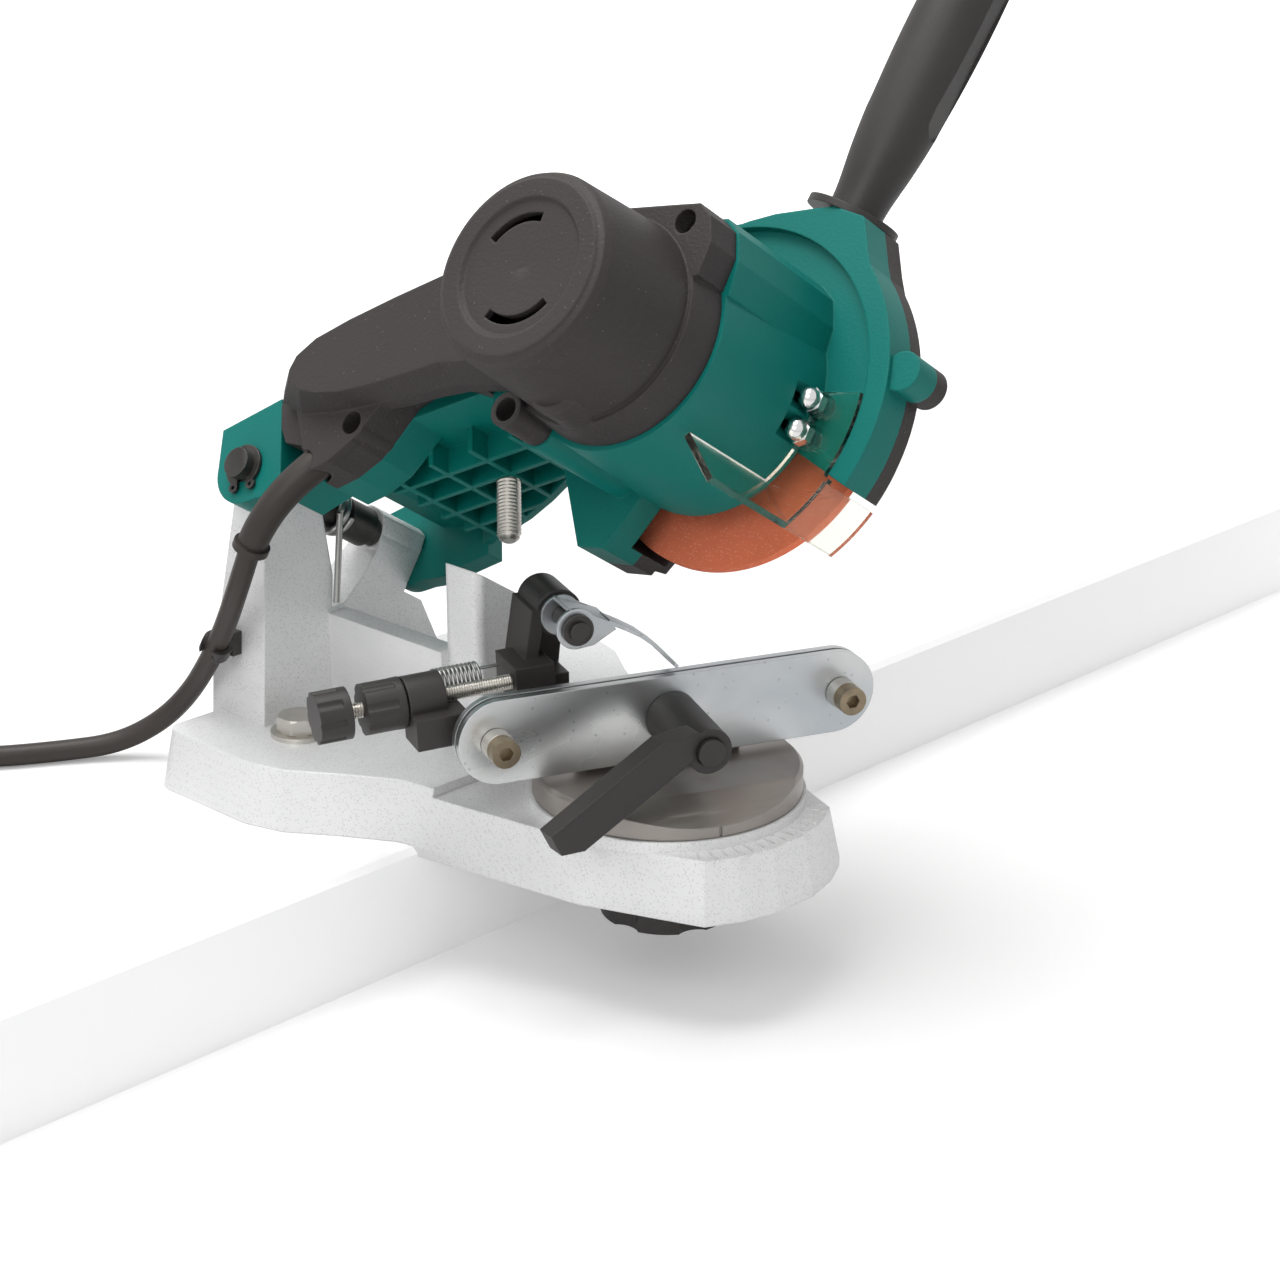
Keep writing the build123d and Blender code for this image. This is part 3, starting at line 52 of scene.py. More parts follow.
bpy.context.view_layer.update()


# ==== frames of the machine ================================================================
@dataclass(frozen=True)
class Tilt:
    """Angles that set the head, its hinge and the vice apart from the base. Angles are in degrees.

    Attributes:
        hinge_dip: how far the hinge dips to the right.
        raised: how far the arm stands up at rest.
        vice_turn: how far the vice is turned from straight ahead.
        stop_rise: how far the chain stop's screw climbs to the right.
        hinge: a point on the hinge's middle line, in millimetres.
        table: the foot of the turntable's axis, in millimetres.
        stop_start: the face of the chain stop's knob, along, behind and above the table, in millimetres.
    """

    hinge_dip: float = 33.26
    raised: float = 29.8
    vice_turn: float = 24.0
    stop_rise: float = 2.7
    hinge: Point = (4.2, 18.0, 69.9)
    table: Point = (0.0, -118.0, 0.0)
    stop_start: Point = (-108.4, 20.0, 52.0)

    def head(self) -> Matrix:
        """Gives the head's frame: x out along the arm, y along the hinge, z up from the arm.

        Returns:
            The 4x4 matrix.
        """
        dip, raised = math.radians(self.hinge_dip), math.radians(self.raised)
        axis = Vector((math.cos(dip), 0, -math.sin(dip)))
        lift = Vector((math.sin(dip), 0, math.cos(dip)))
        ahead = Vector((0, -1, 0))
        out = ahead * math.cos(raised) + lift * math.sin(raised)
        up = -ahead * math.sin(raised) + lift * math.cos(raised)
        return placed(self.hinge, out, axis, up)

    def vice(self) -> Matrix:
        """Gives the vice's frame: x along the plates, y behind them, z up.

        Returns:
            The 4x4 matrix.
        """
        turn = math.radians(self.vice_turn)
        along = Vector((math.cos(turn), -math.sin(turn), 0))
        behind = Vector((math.sin(turn), math.cos(turn), 0))
        return placed(self.table, along, behind, Vector((0, 0, 1)))

    def stop(self) -> Matrix:
        """Gives the chain stop's frame: z along its screw, from the knob's face.

        Returns:
            The 4x4 matrix.
        """
        rise = math.radians(self.stop_rise)
        along = Vector((math.cos(rise), 0, math.sin(rise)))
        side = Vector((0, 1, 0))
        return self.vice() @ placed(self.stop_start, side, along.cross(side), along)


def placed(origin: Point, x: Vector, y: Vector, z: Vector) -> Matrix:
    """Builds a frame from its axes.

    Args:
        origin: where it stands.
        x: its first axis.
        y: its second axis.
        z: its third axis.

    Returns:
        The 4x4 matrix that takes places in that frame to places in the machine's.
    """
    made = Matrix((x, y, z)).transposed().to_4x4()
    made.translation = Vector(origin)
    return made


TILT = Tilt()


# ==== nodes ================================================================================
def feed(tree: bpy.types.NodeTree, socket: bpy.types.NodeSocket, value: Value) -> None:
    """Links an output into an input, or sets the input to a value.

    Args:
        tree: the node tree they are in.
        socket: the input.
        value: what goes into it.
    """
    if isinstance(value, bpy.types.NodeSocket):
        tree.links.new(value, socket)
    else:
        socket.default_value = value


def add_node(tree: bpy.types.NodeTree, kind: str, inputs: dict[str | int, Value] | None = None,
             **options: str | bool | int) -> bpy.types.Node:
    """Adds a node.

    Args:
        tree: the node tree it goes into.
        kind: its type.
        inputs: what goes into its inputs, by name or place.
        **options: its settings.

    Returns:
        The node.
    """
    node = tree.nodes.new(kind)
    for name, value in options.items():
        setattr(node, name, value)
    for name, value in (inputs or {}).items():
        feed(tree, node.inputs[name], value)
    return node


def math_node(tree: bpy.types.NodeTree, operation: str, *values: Value,
              clamp: bool = False) -> bpy.types.NodeSocket:
    """Adds a Math node.

    Args:
        tree: the node tree it goes into.
        operation: what it works out.
        *values: its inputs in order.
        clamp: whether the result stays between 0 and 1.

    Returns:
        The result's socket.
    """
    node = add_node(tree, "ShaderNodeMath", dict(enumerate(values)), operation=operation, use_clamp=clamp)
    return node.outputs[0]


# ==== shared shader effects ================================================================
class Effect(Enum):
    """Shader effects that several finishes share."""

    GRAIN = "moulded_grain"
    SPECKLE = "speckle"
    CLOUD = "cloud"
    SCRATCH = "scratch"
    EDGE = "soft_edge"


class Effects:
    """Builds each shared effect once, as a shader node group.

    Attributes:
        cell_height: how much of the grain is rounded cells, beside the slower noise.
        fleck_reach: how far a fleck reaches across its cell.
        scratch_stretch: how much longer than wide a rubbed line is.
        scratch_turn: how the rubbed lines lie, as turns about x, y and z in radians.
        scratch_sharp: how sharply a rubbed line begins.
        edge_samples: rays that feel for an edge.
    """

    cell_height = 0.7
    fleck_reach = 0.42
    scratch_stretch = 30.0
    scratch_turn = (0.3, 0.15, 0.4)
    scratch_sharp = 6.0
    edge_samples = 4

    def __init__(self) -> None:
        """Starts with no group built."""
        self._built: dict[Effect, bpy.types.NodeTree] = {}

    def get(self, effect: Effect) -> bpy.types.NodeTree:
        """Gives an effect's node group, and builds it the first time.

        Args:
            effect: which one.

        Returns:
            The shader node group.
        """
        fillers = {Effect.GRAIN: self._grain, Effect.SPECKLE: self._speckle, Effect.CLOUD: self._cloud,
                   Effect.SCRATCH: self._scratch, Effect.EDGE: self._edge}
        if effect not in self._built:
            tree = bpy.data.node_groups.new(effect.value, "ShaderNodeTree")
            fillers[effect](tree)
            self._built[effect] = tree
        return self._built[effect]

    @staticmethod
    def _sockets(tree: bpy.types.NodeTree, inputs: dict[str, float | None], outputs: dict[str, str]
                 ) -> tuple[bpy.types.Node, bpy.types.Node]:
        """Adds a group's sockets.

        Args:
            tree: the group.
            inputs: names and default values; None makes a vector.
            outputs: names and socket types.

        Returns:
            The group's input node and output node.
        """
        for name, value in inputs.items():
            kind = "NodeSocketVector" if value is None else "NodeSocketFloat"
            made = tree.interface.new_socket(name=name, in_out="INPUT", socket_type=kind)
            if value is not None:
                made.default_value = value
        for name, kind in outputs.items():
            tree.interface.new_socket(name=name, in_out="OUTPUT", socket_type=kind)
        return tree.nodes.new("NodeGroupInput"), tree.nodes.new("NodeGroupOutput")

    def _grain(self, tree: bpy.types.NodeTree) -> None:
        """Leather-like grain of a moulding: small rounded bumps on a slower unevenness.

        Args:
            tree: the empty group it fills.
        """
        start, end = self._sockets(tree, {"Vector": None, "Scale": 1500.0}, {"Height": "NodeSocketFloat"})
        place = {name: start.outputs[name] for name in ("Vector", "Scale")}
        cells = add_node(tree, "ShaderNodeTexVoronoi", place, feature="SMOOTH_F1")
        noise = add_node(tree, "ShaderNodeTexNoise", {**place, "Detail": 3.0})
        height = math_node(tree, "MULTIPLY_ADD", cells.outputs["Distance"], self.cell_height,
                           noise.outputs["Fac"])
        feed(tree, end.inputs["Height"], height)

    def _speckle(self, tree: bpy.types.NodeTree) -> None:
        """Scattered small flecks: 1 on a fleck and 0 between them.

        Args:
            tree: the empty group it fills.
        """
        start, end = self._sockets(tree, {"Vector": None, "Scale": 1200.0, "Share": 0.1},
                                   {"Factor": "NodeSocketFloat"})
        place = {name: start.outputs[name] for name in ("Vector", "Scale")}
        cells = add_node(tree, "ShaderNodeTexVoronoi", place)
        split = add_node(tree, "ShaderNodeSeparateColor", {"Color": cells.outputs["Color"]})
        chosen = math_node(tree, "LESS_THAN", split.outputs["Red"], start.outputs["Share"])
        near = math_node(tree, "LESS_THAN", cells.outputs["Distance"], self.fleck_reach)
        feed(tree, end.inputs["Factor"], math_node(tree, "MULTIPLY", chosen, near))

    def _cloud(self, tree: bpy.types.NodeTree) -> None:
        """Slow, soft patches between 0 and 1.

        Args:
            tree: the empty group it fills.
        """
        start, end = self._sockets(tree, {"Vector": None, "Scale": 40.0, "Contrast": 2.0},
                                   {"Factor": "NodeSocketFloat"})
        place = {name: start.outputs[name] for name in ("Vector", "Scale")}
        noise = add_node(tree, "ShaderNodeTexNoise", {**place, "Detail": 5.0, "Distortion": 0.6})
        middle = math_node(tree, "SUBTRACT", noise.outputs["Fac"], 0.5)
        spread = math_node(tree, "MULTIPLY_ADD", middle, start.outputs["Contrast"], 0.5, clamp=True)
        feed(tree, end.inputs["Factor"], spread)

    def _scratch(self, tree: bpy.types.NodeTree) -> None:
        """Fine rubbed lines that run mostly one way.

        Args:
            tree: the empty group it fills.
        """
        start, end = self._sockets(tree, {"Vector": None, "Scale": 60.0, "Share": 0.5},
                                   {"Factor": "NodeSocketFloat"})
        stretch = add_node(tree, "ShaderNodeMapping", {
            "Vector": start.outputs["Vector"], "Scale": (1.0, 1.0, self.scratch_stretch),
            "Rotation": self.scratch_turn})
        noise = add_node(tree, "ShaderNodeTexNoise", {
            "Vector": stretch.outputs["Vector"], "Scale": start.outputs["Scale"], "Detail": 2.0})
        above = math_node(tree, "SUBTRACT", noise.outputs["Fac"], start.outputs["Share"])
        feed(tree, end.inputs["Factor"], math_node(tree, "MULTIPLY", above, self.scratch_sharp, clamp=True))

    def _edge(self, tree: bpy.types.NodeTree) -> None:
        """Rounded edges: a softened normal, and a mask that is 1 on outer and inner edges, where finishes
        paint a highlight.

        Args:
            tree: the empty group it fills.
        """
        start, end = self._sockets(tree, {"Radius": 0.0008, "Sharpness": 6.0},
                                   {"Normal": "NodeSocketVector", "Factor": "NodeSocketFloat"})
        bevel = add_node(tree, "ShaderNodeBevel", {"Radius": start.outputs["Radius"]},
                         samples=self.edge_samples)
        surface = add_node(tree, "ShaderNodeNewGeometry")
        both = {0: bevel.outputs["Normal"], 1: surface.outputs["Normal"]}
        alike = add_node(tree, "ShaderNodeVectorMath", both, operation="DOT_PRODUCT")
        apart = math_node(tree, "SUBTRACT", 1.0, alike.outputs["Value"])
        sharp = math_node(tree, "MULTIPLY", apart, start.outputs["Sharpness"], clamp=True)
        feed(tree, end.inputs["Normal"], bevel.outputs["Normal"])
        feed(tree, end.inputs["Factor"], sharp)


EFFECTS = Effects()


# ==== finishes =============================================================================
@dataclass(frozen=True)
class Finish:
    """How one kind of surface looks.

    Attributes:
        name: its name, which is its material slot's where it has one.
        colour: its main colour, linear.
        second: the colour of its patches.
        patches: how strongly the patches show, 0 to 1.
        patch_scale: how many patches per metre.
        rough: its roughness.
        rough_patches: how much rougher its patches are.
        metal: how metallic it is.
        grain_scale: grains per metre; 0 leaves the surface smooth.
        grain_deep: the grain's height, in millimetres.
        edge_round: the radius its edges are rounded to, in millimetres.
        edge_colour: the colour of a highlight painted along its rounded edges, outer and inner.
        edge_wear: how strongly that painted highlight shows, 0 to 1.
        fleck_colour: the colour of its flecks.
        flecks: the share of the surface with flecks.
        fleck_scale: flecks per metre.
        scratches: how strongly rubbed lines show, 0 to 1.
        shine: how strongly it mirrors, where 0.5 is common plastic.
        clear: how much light goes through it.
    """

    name: str
    colour: RGB
    second: RGB | None = None
    patches: float = 0.0
    patch_scale: float = 40.0
    rough: float = 0.5
    rough_patches: float = 0.1
    metal: float = 0.0
    grain_scale: float = 0.0
    grain_deep: float = 0.05
    edge_round: float = 0.0
    # Painted edge highlight: its colour and strength.
    edge_colour: RGB | None = None
    edge_wear: float = 0.0
    fleck_colour: RGB | None = None
    flecks: float = 0.0
    fleck_scale: float = 1400.0
    scratches: float = 0.0
    shine: float = 0.5
    clear: float = 0.0

    def material(self) -> bpy.types.Material:
        """Builds the material, or gives the one built before."""
        known = bpy.data.materials.get(f"finish_{self.name}")
        return known or FinishBuilder(self).build()


class FinishBuilder:
    """Wires one finish's nodes.

    Attributes:
        patch_contrast: how clearly patches stand apart.
        fleck_strength: how much of its own colour a fleck shows.
        scratch_scale: rubbed lines per metre.
        scratch_share: the share of the surface with none.
        clear_index: how much clear plastic bends light.
        below, above, mixed: where a Mix node keeps its two colours and its result.
    """

    patch_contrast = 3.0
    fleck_strength = 0.8
    scratch_scale = 70.0
    scratch_share = 0.56
    clear_index = 1.3
    below, above, mixed = 6, 7, 2

    def __init__(self, finish: Finish) -> None:
        """Starts a material with its shader.

        Args:
            finish: the finish to build.
        """
        self.finish = finish
        self.made = bpy.data.materials.new(f"finish_{finish.name}")
        self.made.use_nodes = True
        self.tree = self.made.node_tree
        self.tree.nodes.clear()
        self.shader = self.tree.nodes.new("ShaderNodeBsdfPrincipled")
        self.place = self.tree.nodes.new("ShaderNodeTexCoord").outputs["Object"]

    def group(self, effect: Effect, **values: float) -> bpy.types.Node:
        """Adds a shared effect.

        Args:
            effect: which one.
            **values: its inputs.

        Returns:
            The group node.
        """
        node = self.tree.nodes.new("ShaderNodeGroup")
        node.node_tree = EFFECTS.get(effect)
        for name, value in values.items():
            node.inputs[name].default_value = value
        if "Vector" in node.inputs:
            self.tree.links.new(self.place, node.inputs["Vector"])
        return node

    def mix(self, factor: bpy.types.NodeSocket, share: float, under: Value,
            over: RGB | None) -> bpy.types.NodeSocket:
        """Lays one colour over another.

        Args:
            factor: the mask.
            share: how strongly the mask works.
            under: the colour below.
            over: the colour above; None keeps the finish's main colour.

        Returns:
            The mixed colour's socket.
        """
        weight = math_node(self.tree, "MULTIPLY", factor, share)
        node = add_node(self.tree, "ShaderNodeMix", {
            "Factor": weight, self.below: under, self.above: (*(over or self.finish.colour), 1.0)},
            data_type="RGBA")
        return node.outputs[self.mixed]

    def build(self) -> bpy.types.Material:
        """Wires the colour, roughness and normal.

        Returns:
            The material.
        """
        look, shader = self.finish, self.shader
        colour: Value = (*look.colour, 1.0)
        rough: list[tuple[bpy.types.NodeSocket, float]] = []
        normal = None
        if look.patches:
            cloud = self.group(Effect.CLOUD, Scale=look.patch_scale, Contrast=self.patch_contrast)
            colour = self.mix(cloud.outputs["Factor"], look.patches, colour, look.second)
            rough.append((cloud.outputs["Factor"], look.rough_patches))
        if look.flecks:
            fleck = self.group(Effect.SPECKLE, Scale=look.fleck_scale, Share=look.flecks)
            colour = self.mix(fleck.outputs["Factor"], self.fleck_strength, colour, look.fleck_colour)
        if look.scratches:
            lines = self.group(Effect.SCRATCH, Scale=self.scratch_scale, Share=self.scratch_share)
            rough.append((lines.outputs["Factor"], look.scratches))
        if look.edge_round:
            edge = self.group(Effect.EDGE, Radius=look.edge_round * MM)
            normal = edge.outputs["Normal"]
            # Lighter colour on the rounded edges, outer and inner: a painted highlight.
            if look.edge_wear:
                colour = self.mix(edge.outputs["Factor"], look.edge_wear, colour, look.edge_colour)
        feed(self.tree, shader.inputs["Base Color"], colour)
        self.roughness(rough)
        self.relief(normal)
        shader.inputs["Metallic"].default_value = look.metal
        shader.inputs["Specular IOR Level"].default_value = look.shine
        if look.clear:
            shader.inputs["Transmission Weight"].default_value = look.clear
            shader.inputs["IOR"].default_value = self.clear_index
        add_node(self.tree, "ShaderNodeOutputMaterial", {"Surface": shader.outputs["BSDF"]})
        return self.made

    def relief(self, normal: bpy.types.NodeSocket | None) -> None:
        """Lays the grain over the softened edges.

        Args:
            normal: the softened edges' normal, if the finish has them.
        """
        look = self.finish
        if look.grain_scale:
            grain = self.group(Effect.GRAIN, Scale=look.grain_scale)
            bump = add_node(self.tree, "ShaderNodeBump", {
                "Strength": 1.0, "Distance": look.grain_deep * MM, "Height": grain.outputs["Height"]})
            if normal is not None:
                feed(self.tree, bump.inputs["Normal"], normal)
            normal = bump.outputs["Normal"]
        if normal is not None:
            feed(self.tree, self.shader.inputs["Normal"], normal)

    def roughness(self, parts: list[tuple[bpy.types.NodeSocket, float]]) -> None:
        """Adds each part's share to the roughness.

        Args:
            parts: masks and how much each adds.
        """
        total: Value = self.finish.rough
        for mask, share in parts:
            total = math_node(self.tree, "MULTIPLY_ADD", mask, share, total, clamp=True)
        feed(self.tree, self.shader.inputs["Roughness"], total)


class Finishes:
    """The finishes of the machine: each material slot's, and two for raised lettering and warm screws."""

    cast_aluminium = Finish(
        "cast_aluminium", (0.86, 0.86, 0.86), second=(0.76, 0.76, 0.77), patches=0.5, patch_scale=25.0,
        rough=0.40, metal=0.3, grain_scale=900.0, grain_deep=0.09, edge_round=0.8, flecks=0.28,
        fleck_scale=1900.0, fleck_colour=(0.62, 0.62, 0.63))
    crisp_casting = Finish("crisp_casting", (0.80, 0.80, 0.80), rough=0.45, metal=0.3)
    # Its edges take a painted highlight colour, here close to its own colour.
    dark_casting = Finish(
        "dark_casting", (0.27, 0.245, 0.225), second=(0.38, 0.35, 0.32), patches=0.6, patch_scale=30.0,
        rough=0.3, metal=0.6, shine=0.9, grain_scale=1400.0, grain_deep=0.02, edge_round=0.7,
        edge_colour=(0.25, 0.24, 0.23), edge_wear=0.5, scratches=0.2)
    zinc_plate = Finish(
        "zinc_plate", (0.66, 0.67, 0.66), second=(0.44, 0.48, 0.52), patches=0.75, patch_scale=18.0,
        rough=0.26, rough_patches=0.16, metal=1.0, grain_scale=260.0, grain_deep=0.012, edge_round=0.4,
        flecks=0.02, fleck_scale=900.0, fleck_colour=(0.40, 0.43, 0.45))
    # Its edges take a lighter green: a painted highlight.
    green_plastic = Finish(
        "green_plastic", (0.0, 0.170, 0.146), second=(0.0, 0.145, 0.126), patches=0.4, patch_scale=12.0,
        rough=0.45, shine=0.28, grain_scale=1200.0, grain_deep=0.06, edge_round=0.9,
        edge_colour=(0.01, 0.26, 0.22), edge_wear=0.35)
    # Its edges take a lighter grey: a painted highlight.
    black_plastic = Finish(
        "black_plastic", (0.042, 0.036, 0.036), second=(0.056, 0.049, 0.048), patches=0.5,
        patch_scale=15.0, rough=0.5, shine=0.25, grain_scale=1000.0, grain_deep=0.13, edge_round=1.0,
        edge_colour=(0.12, 0.11, 0.105), edge_wear=0.35, flecks=0.008, fleck_scale=1500.0,
        fleck_colour=(0.12, 0.105, 0.10))
    # Its edges take a lighter grey: a painted highlight.
    grip_plastic = Finish(
        "grip_plastic", (0.030, 0.027, 0.026), second=(0.044, 0.040, 0.038), patches=0.5,
        patch_scale=22.0, rough=0.40, shine=0.4, grain_scale=1800.0, grain_deep=0.03, edge_round=0.8,
        edge_colour=(0.10, 0.092, 0.088), edge_wear=0.3)
    abrasive = Finish(
        "abrasive", (0.88, 0.215, 0.105), second=(0.72, 0.165, 0.080), patches=0.5, patch_scale=60.0,
        rough=0.9, grain_scale=2200.0, grain_deep=0.12, edge_round=0.4, flecks=0.22, fleck_scale=1500.0,
        fleck_colour=(0.95, 0.34, 0.20))
    clear_plastic = Finish(
        "clear_plastic", (0.93, 0.94, 0.86), rough=0.03, rough_patches=0.1, patches=0.3,
        second=(0.88, 0.87, 0.74), patch_scale=30.0, scratches=0.18, clear=1.0, edge_round=0.3)
    chrome = Finish("chrome", (0.78, 0.78, 0.78), rough=0.12, metal=1.0, edge_round=0.3, scratches=0.1)
    bright_steel = Finish(
        "bright_steel", (0.62, 0.59, 0.54), second=(0.50, 0.49, 0.47), patches=0.5, patch_scale=90.0,
        rough=0.26, metal=1.0, edge_round=0.3, scratches=0.15)
    # Its edges take a much lighter colour: a painted highlight.
    black_steel = Finish(
        "black_steel", (0.045, 0.042, 0.040), second=(0.10, 0.095, 0.09), patches=0.5, patch_scale=150.0,
        rough=0.38, metal=0.6, edge_round=0.3, edge_colour=(0.25, 0.24, 0.22), edge_wear=0.5)
    warm_steel = Finish(
        "warm_steel", (0.30, 0.24, 0.16), second=(0.18, 0.15, 0.11), patches=0.6, patch_scale=200.0,
        rough=0.32, metal=0.9, edge_round=0.3)
    spring_steel = Finish("spring_steel", (0.40, 0.40, 0.39), rough=0.30, metal=1.0, scratches=0.2)
    pale_aluminium = Finish(
        "pale_aluminium", (0.72, 0.73, 0.73), rough=0.3, metal=1.0, edge_round=0.3, scratches=0.2)
    laminated_steel = Finish(
        "laminated_steel", (0.16, 0.16, 0.165), second=(0.24, 0.24, 0.25), patches=0.6, patch_scale=200.0,
        rough=0.5, metal=0.7)
    copper = Finish(
        "copper", (0.55, 0.22, 0.10), second=(0.40, 0.14, 0.06), patches=0.5, patch_scale=300.0,
        rough=0.35, metal=0.9, grain_scale=900.0, grain_deep=0.05)
    brass = Finish("brass", (0.60, 0.44, 0.18), rough=0.3, metal=1.0, scratches=0.2)
    carbon = Finish("carbon", (0.03, 0.03, 0.032), rough=0.6, grain_scale=2500.0, grain_deep=0.03)
    black_rubber = Finish(
        "black_rubber", (0.030, 0.023, 0.019), second=(0.044, 0.035, 0.030), patches=0.5,
        patch_scale=35.0, rough=0.42, shine=0.4, grain_scale=700.0, grain_deep=0.02, edge_round=0.4)
    switch_plastic = Finish(
        "switch_plastic", (0.03, 0.03, 0.03), rough=0.2, edge_round=0.5, scratches=0.1)

    @classmethod
    def get(cls, name: str) -> bpy.types.Material:
        """Gives the material of a slot or a finish."""
        return getattr(cls, name).material()


# ==== mesh helpers =========================================================================
def new_piece(name: str, shape: bmesh.types.BMesh, slot: str, body: str, smooth: float = 30.0,
              look: str = "") -> bpy.types.Object:
    """Makes a finished piece from a mesh and lets it ride.

    Args:
        name: the piece's name.
        shape: its mesh, in millimetres in the machine's frame.
        slot: its material slot.
        body: the body it rides on.
        smooth: edges flatter than this are shaded smooth, in degrees.
        look: the finish, where it isn't the slot's own.

    Returns:
        The object, at the origin.
    """
    bmesh.ops.scale(shape, vec=(MM, MM, MM), verts=shape.verts)
    mesh = bpy.data.meshes.new(name)
    shape.to_mesh(mesh)
    shape.free()
    mesh.materials.clear()
    mesh.materials.append(Finishes.get(look or slot))
    for face in mesh.polygons:
        face.material_index = 0
    piece = placed_in_scene(name, mesh)
    mesh.shade_smooth()
    mesh.set_sharp_from_angle(angle=math.radians(smooth))
    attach(piece, body)
    return piece


def frozen(carrier: bpy.types.Object) -> bmesh.types.BMesh:
    """Turns what an object shows into a plain mesh, and takes the object away.

    Args:
        carrier: the object, with its modifiers live.

    Returns:
        The mesh, in the object's own units.
    """
    bpy.context.view_layer.update()
    result = bpy.data.meshes.new_from_object(carrier.evaluated_get(bpy.context.evaluated_depsgraph_get()))
    bpy.data.objects.remove(carrier)
    shape = bmesh.new()
    shape.from_mesh(result)
    bpy.data.meshes.remove(result)
    return shape


def placed_in_scene(name: str, data: bpy.types.ID) -> bpy.types.Object:
    """Makes an object and puts it in the scene.

    Args:
        name: its name.
        data: its mesh, curve, lamp or camera.

    Returns:
        The object.
    """
    made = bpy.data.objects.new(name, data)
    bpy.context.scene.collection.objects.link(made)
    return made


def lathe(profile: list[tuple[float, float]], frame_of: Matrix, steps: int = 48) -> bmesh.types.BMesh:
    """Turns a profile about z.

    Args:
        profile: (radius, height) pairs, in millimetres, from one end to the other.
        frame_of: the frame it is turned in.
        steps: faces round it.

    Returns:
        The closed mesh, in millimetres in the machine's frame.
    """
    shape = bmesh.new()
    rings: list[list[bmesh.types.BMVert]] = []
    for radius, height in profile:
        if radius == 0:
            rings.append([shape.verts.new((0, 0, height))])
            continue
        turns = [2 * math.pi * i / steps for i in range(steps)]
        rings.append([shape.verts.new((radius * math.cos(turn), radius * math.sin(turn), height))
                      for turn in turns])
    for low, high in zip(rings, rings[1:]):
        for i in range(steps):
            j = (i + 1) % steps
            corners = [low[i % len(low)], low[j % len(low)], high[j % len(high)], high[i % len(high)]]
            kept = list(dict.fromkeys(corners))
            if len(kept) > 2:
                shape.faces.new(kept)
    bmesh.ops.recalc_face_normals(shape, faces=shape.faces)
    bmesh.ops.transform(shape, matrix=frame_of, verts=shape.verts)
    return shape


# ==== screw threads ========================================================================
@dataclass(frozen=True)
class ScrewSize:
    """A metric screw thread.

    Attributes:
        radius: half its outer width, in millimetres.
        pitch: how far it moves in one turn, in millimetres.
        depth: how deep it is cut, in millimetres.
    """

    radius: float
    pitch: float
    depth: float

    @property
    def core(self) -> float:
        """Gives the radius at the bottom of the thread."""
        return self.radius - self.depth


M8 = ScrewSize(4.0, 1.25, 0.62)
M5 = ScrewSize(2.5, 0.8, 0.42)
SCREW_SMOOTH = 25.0


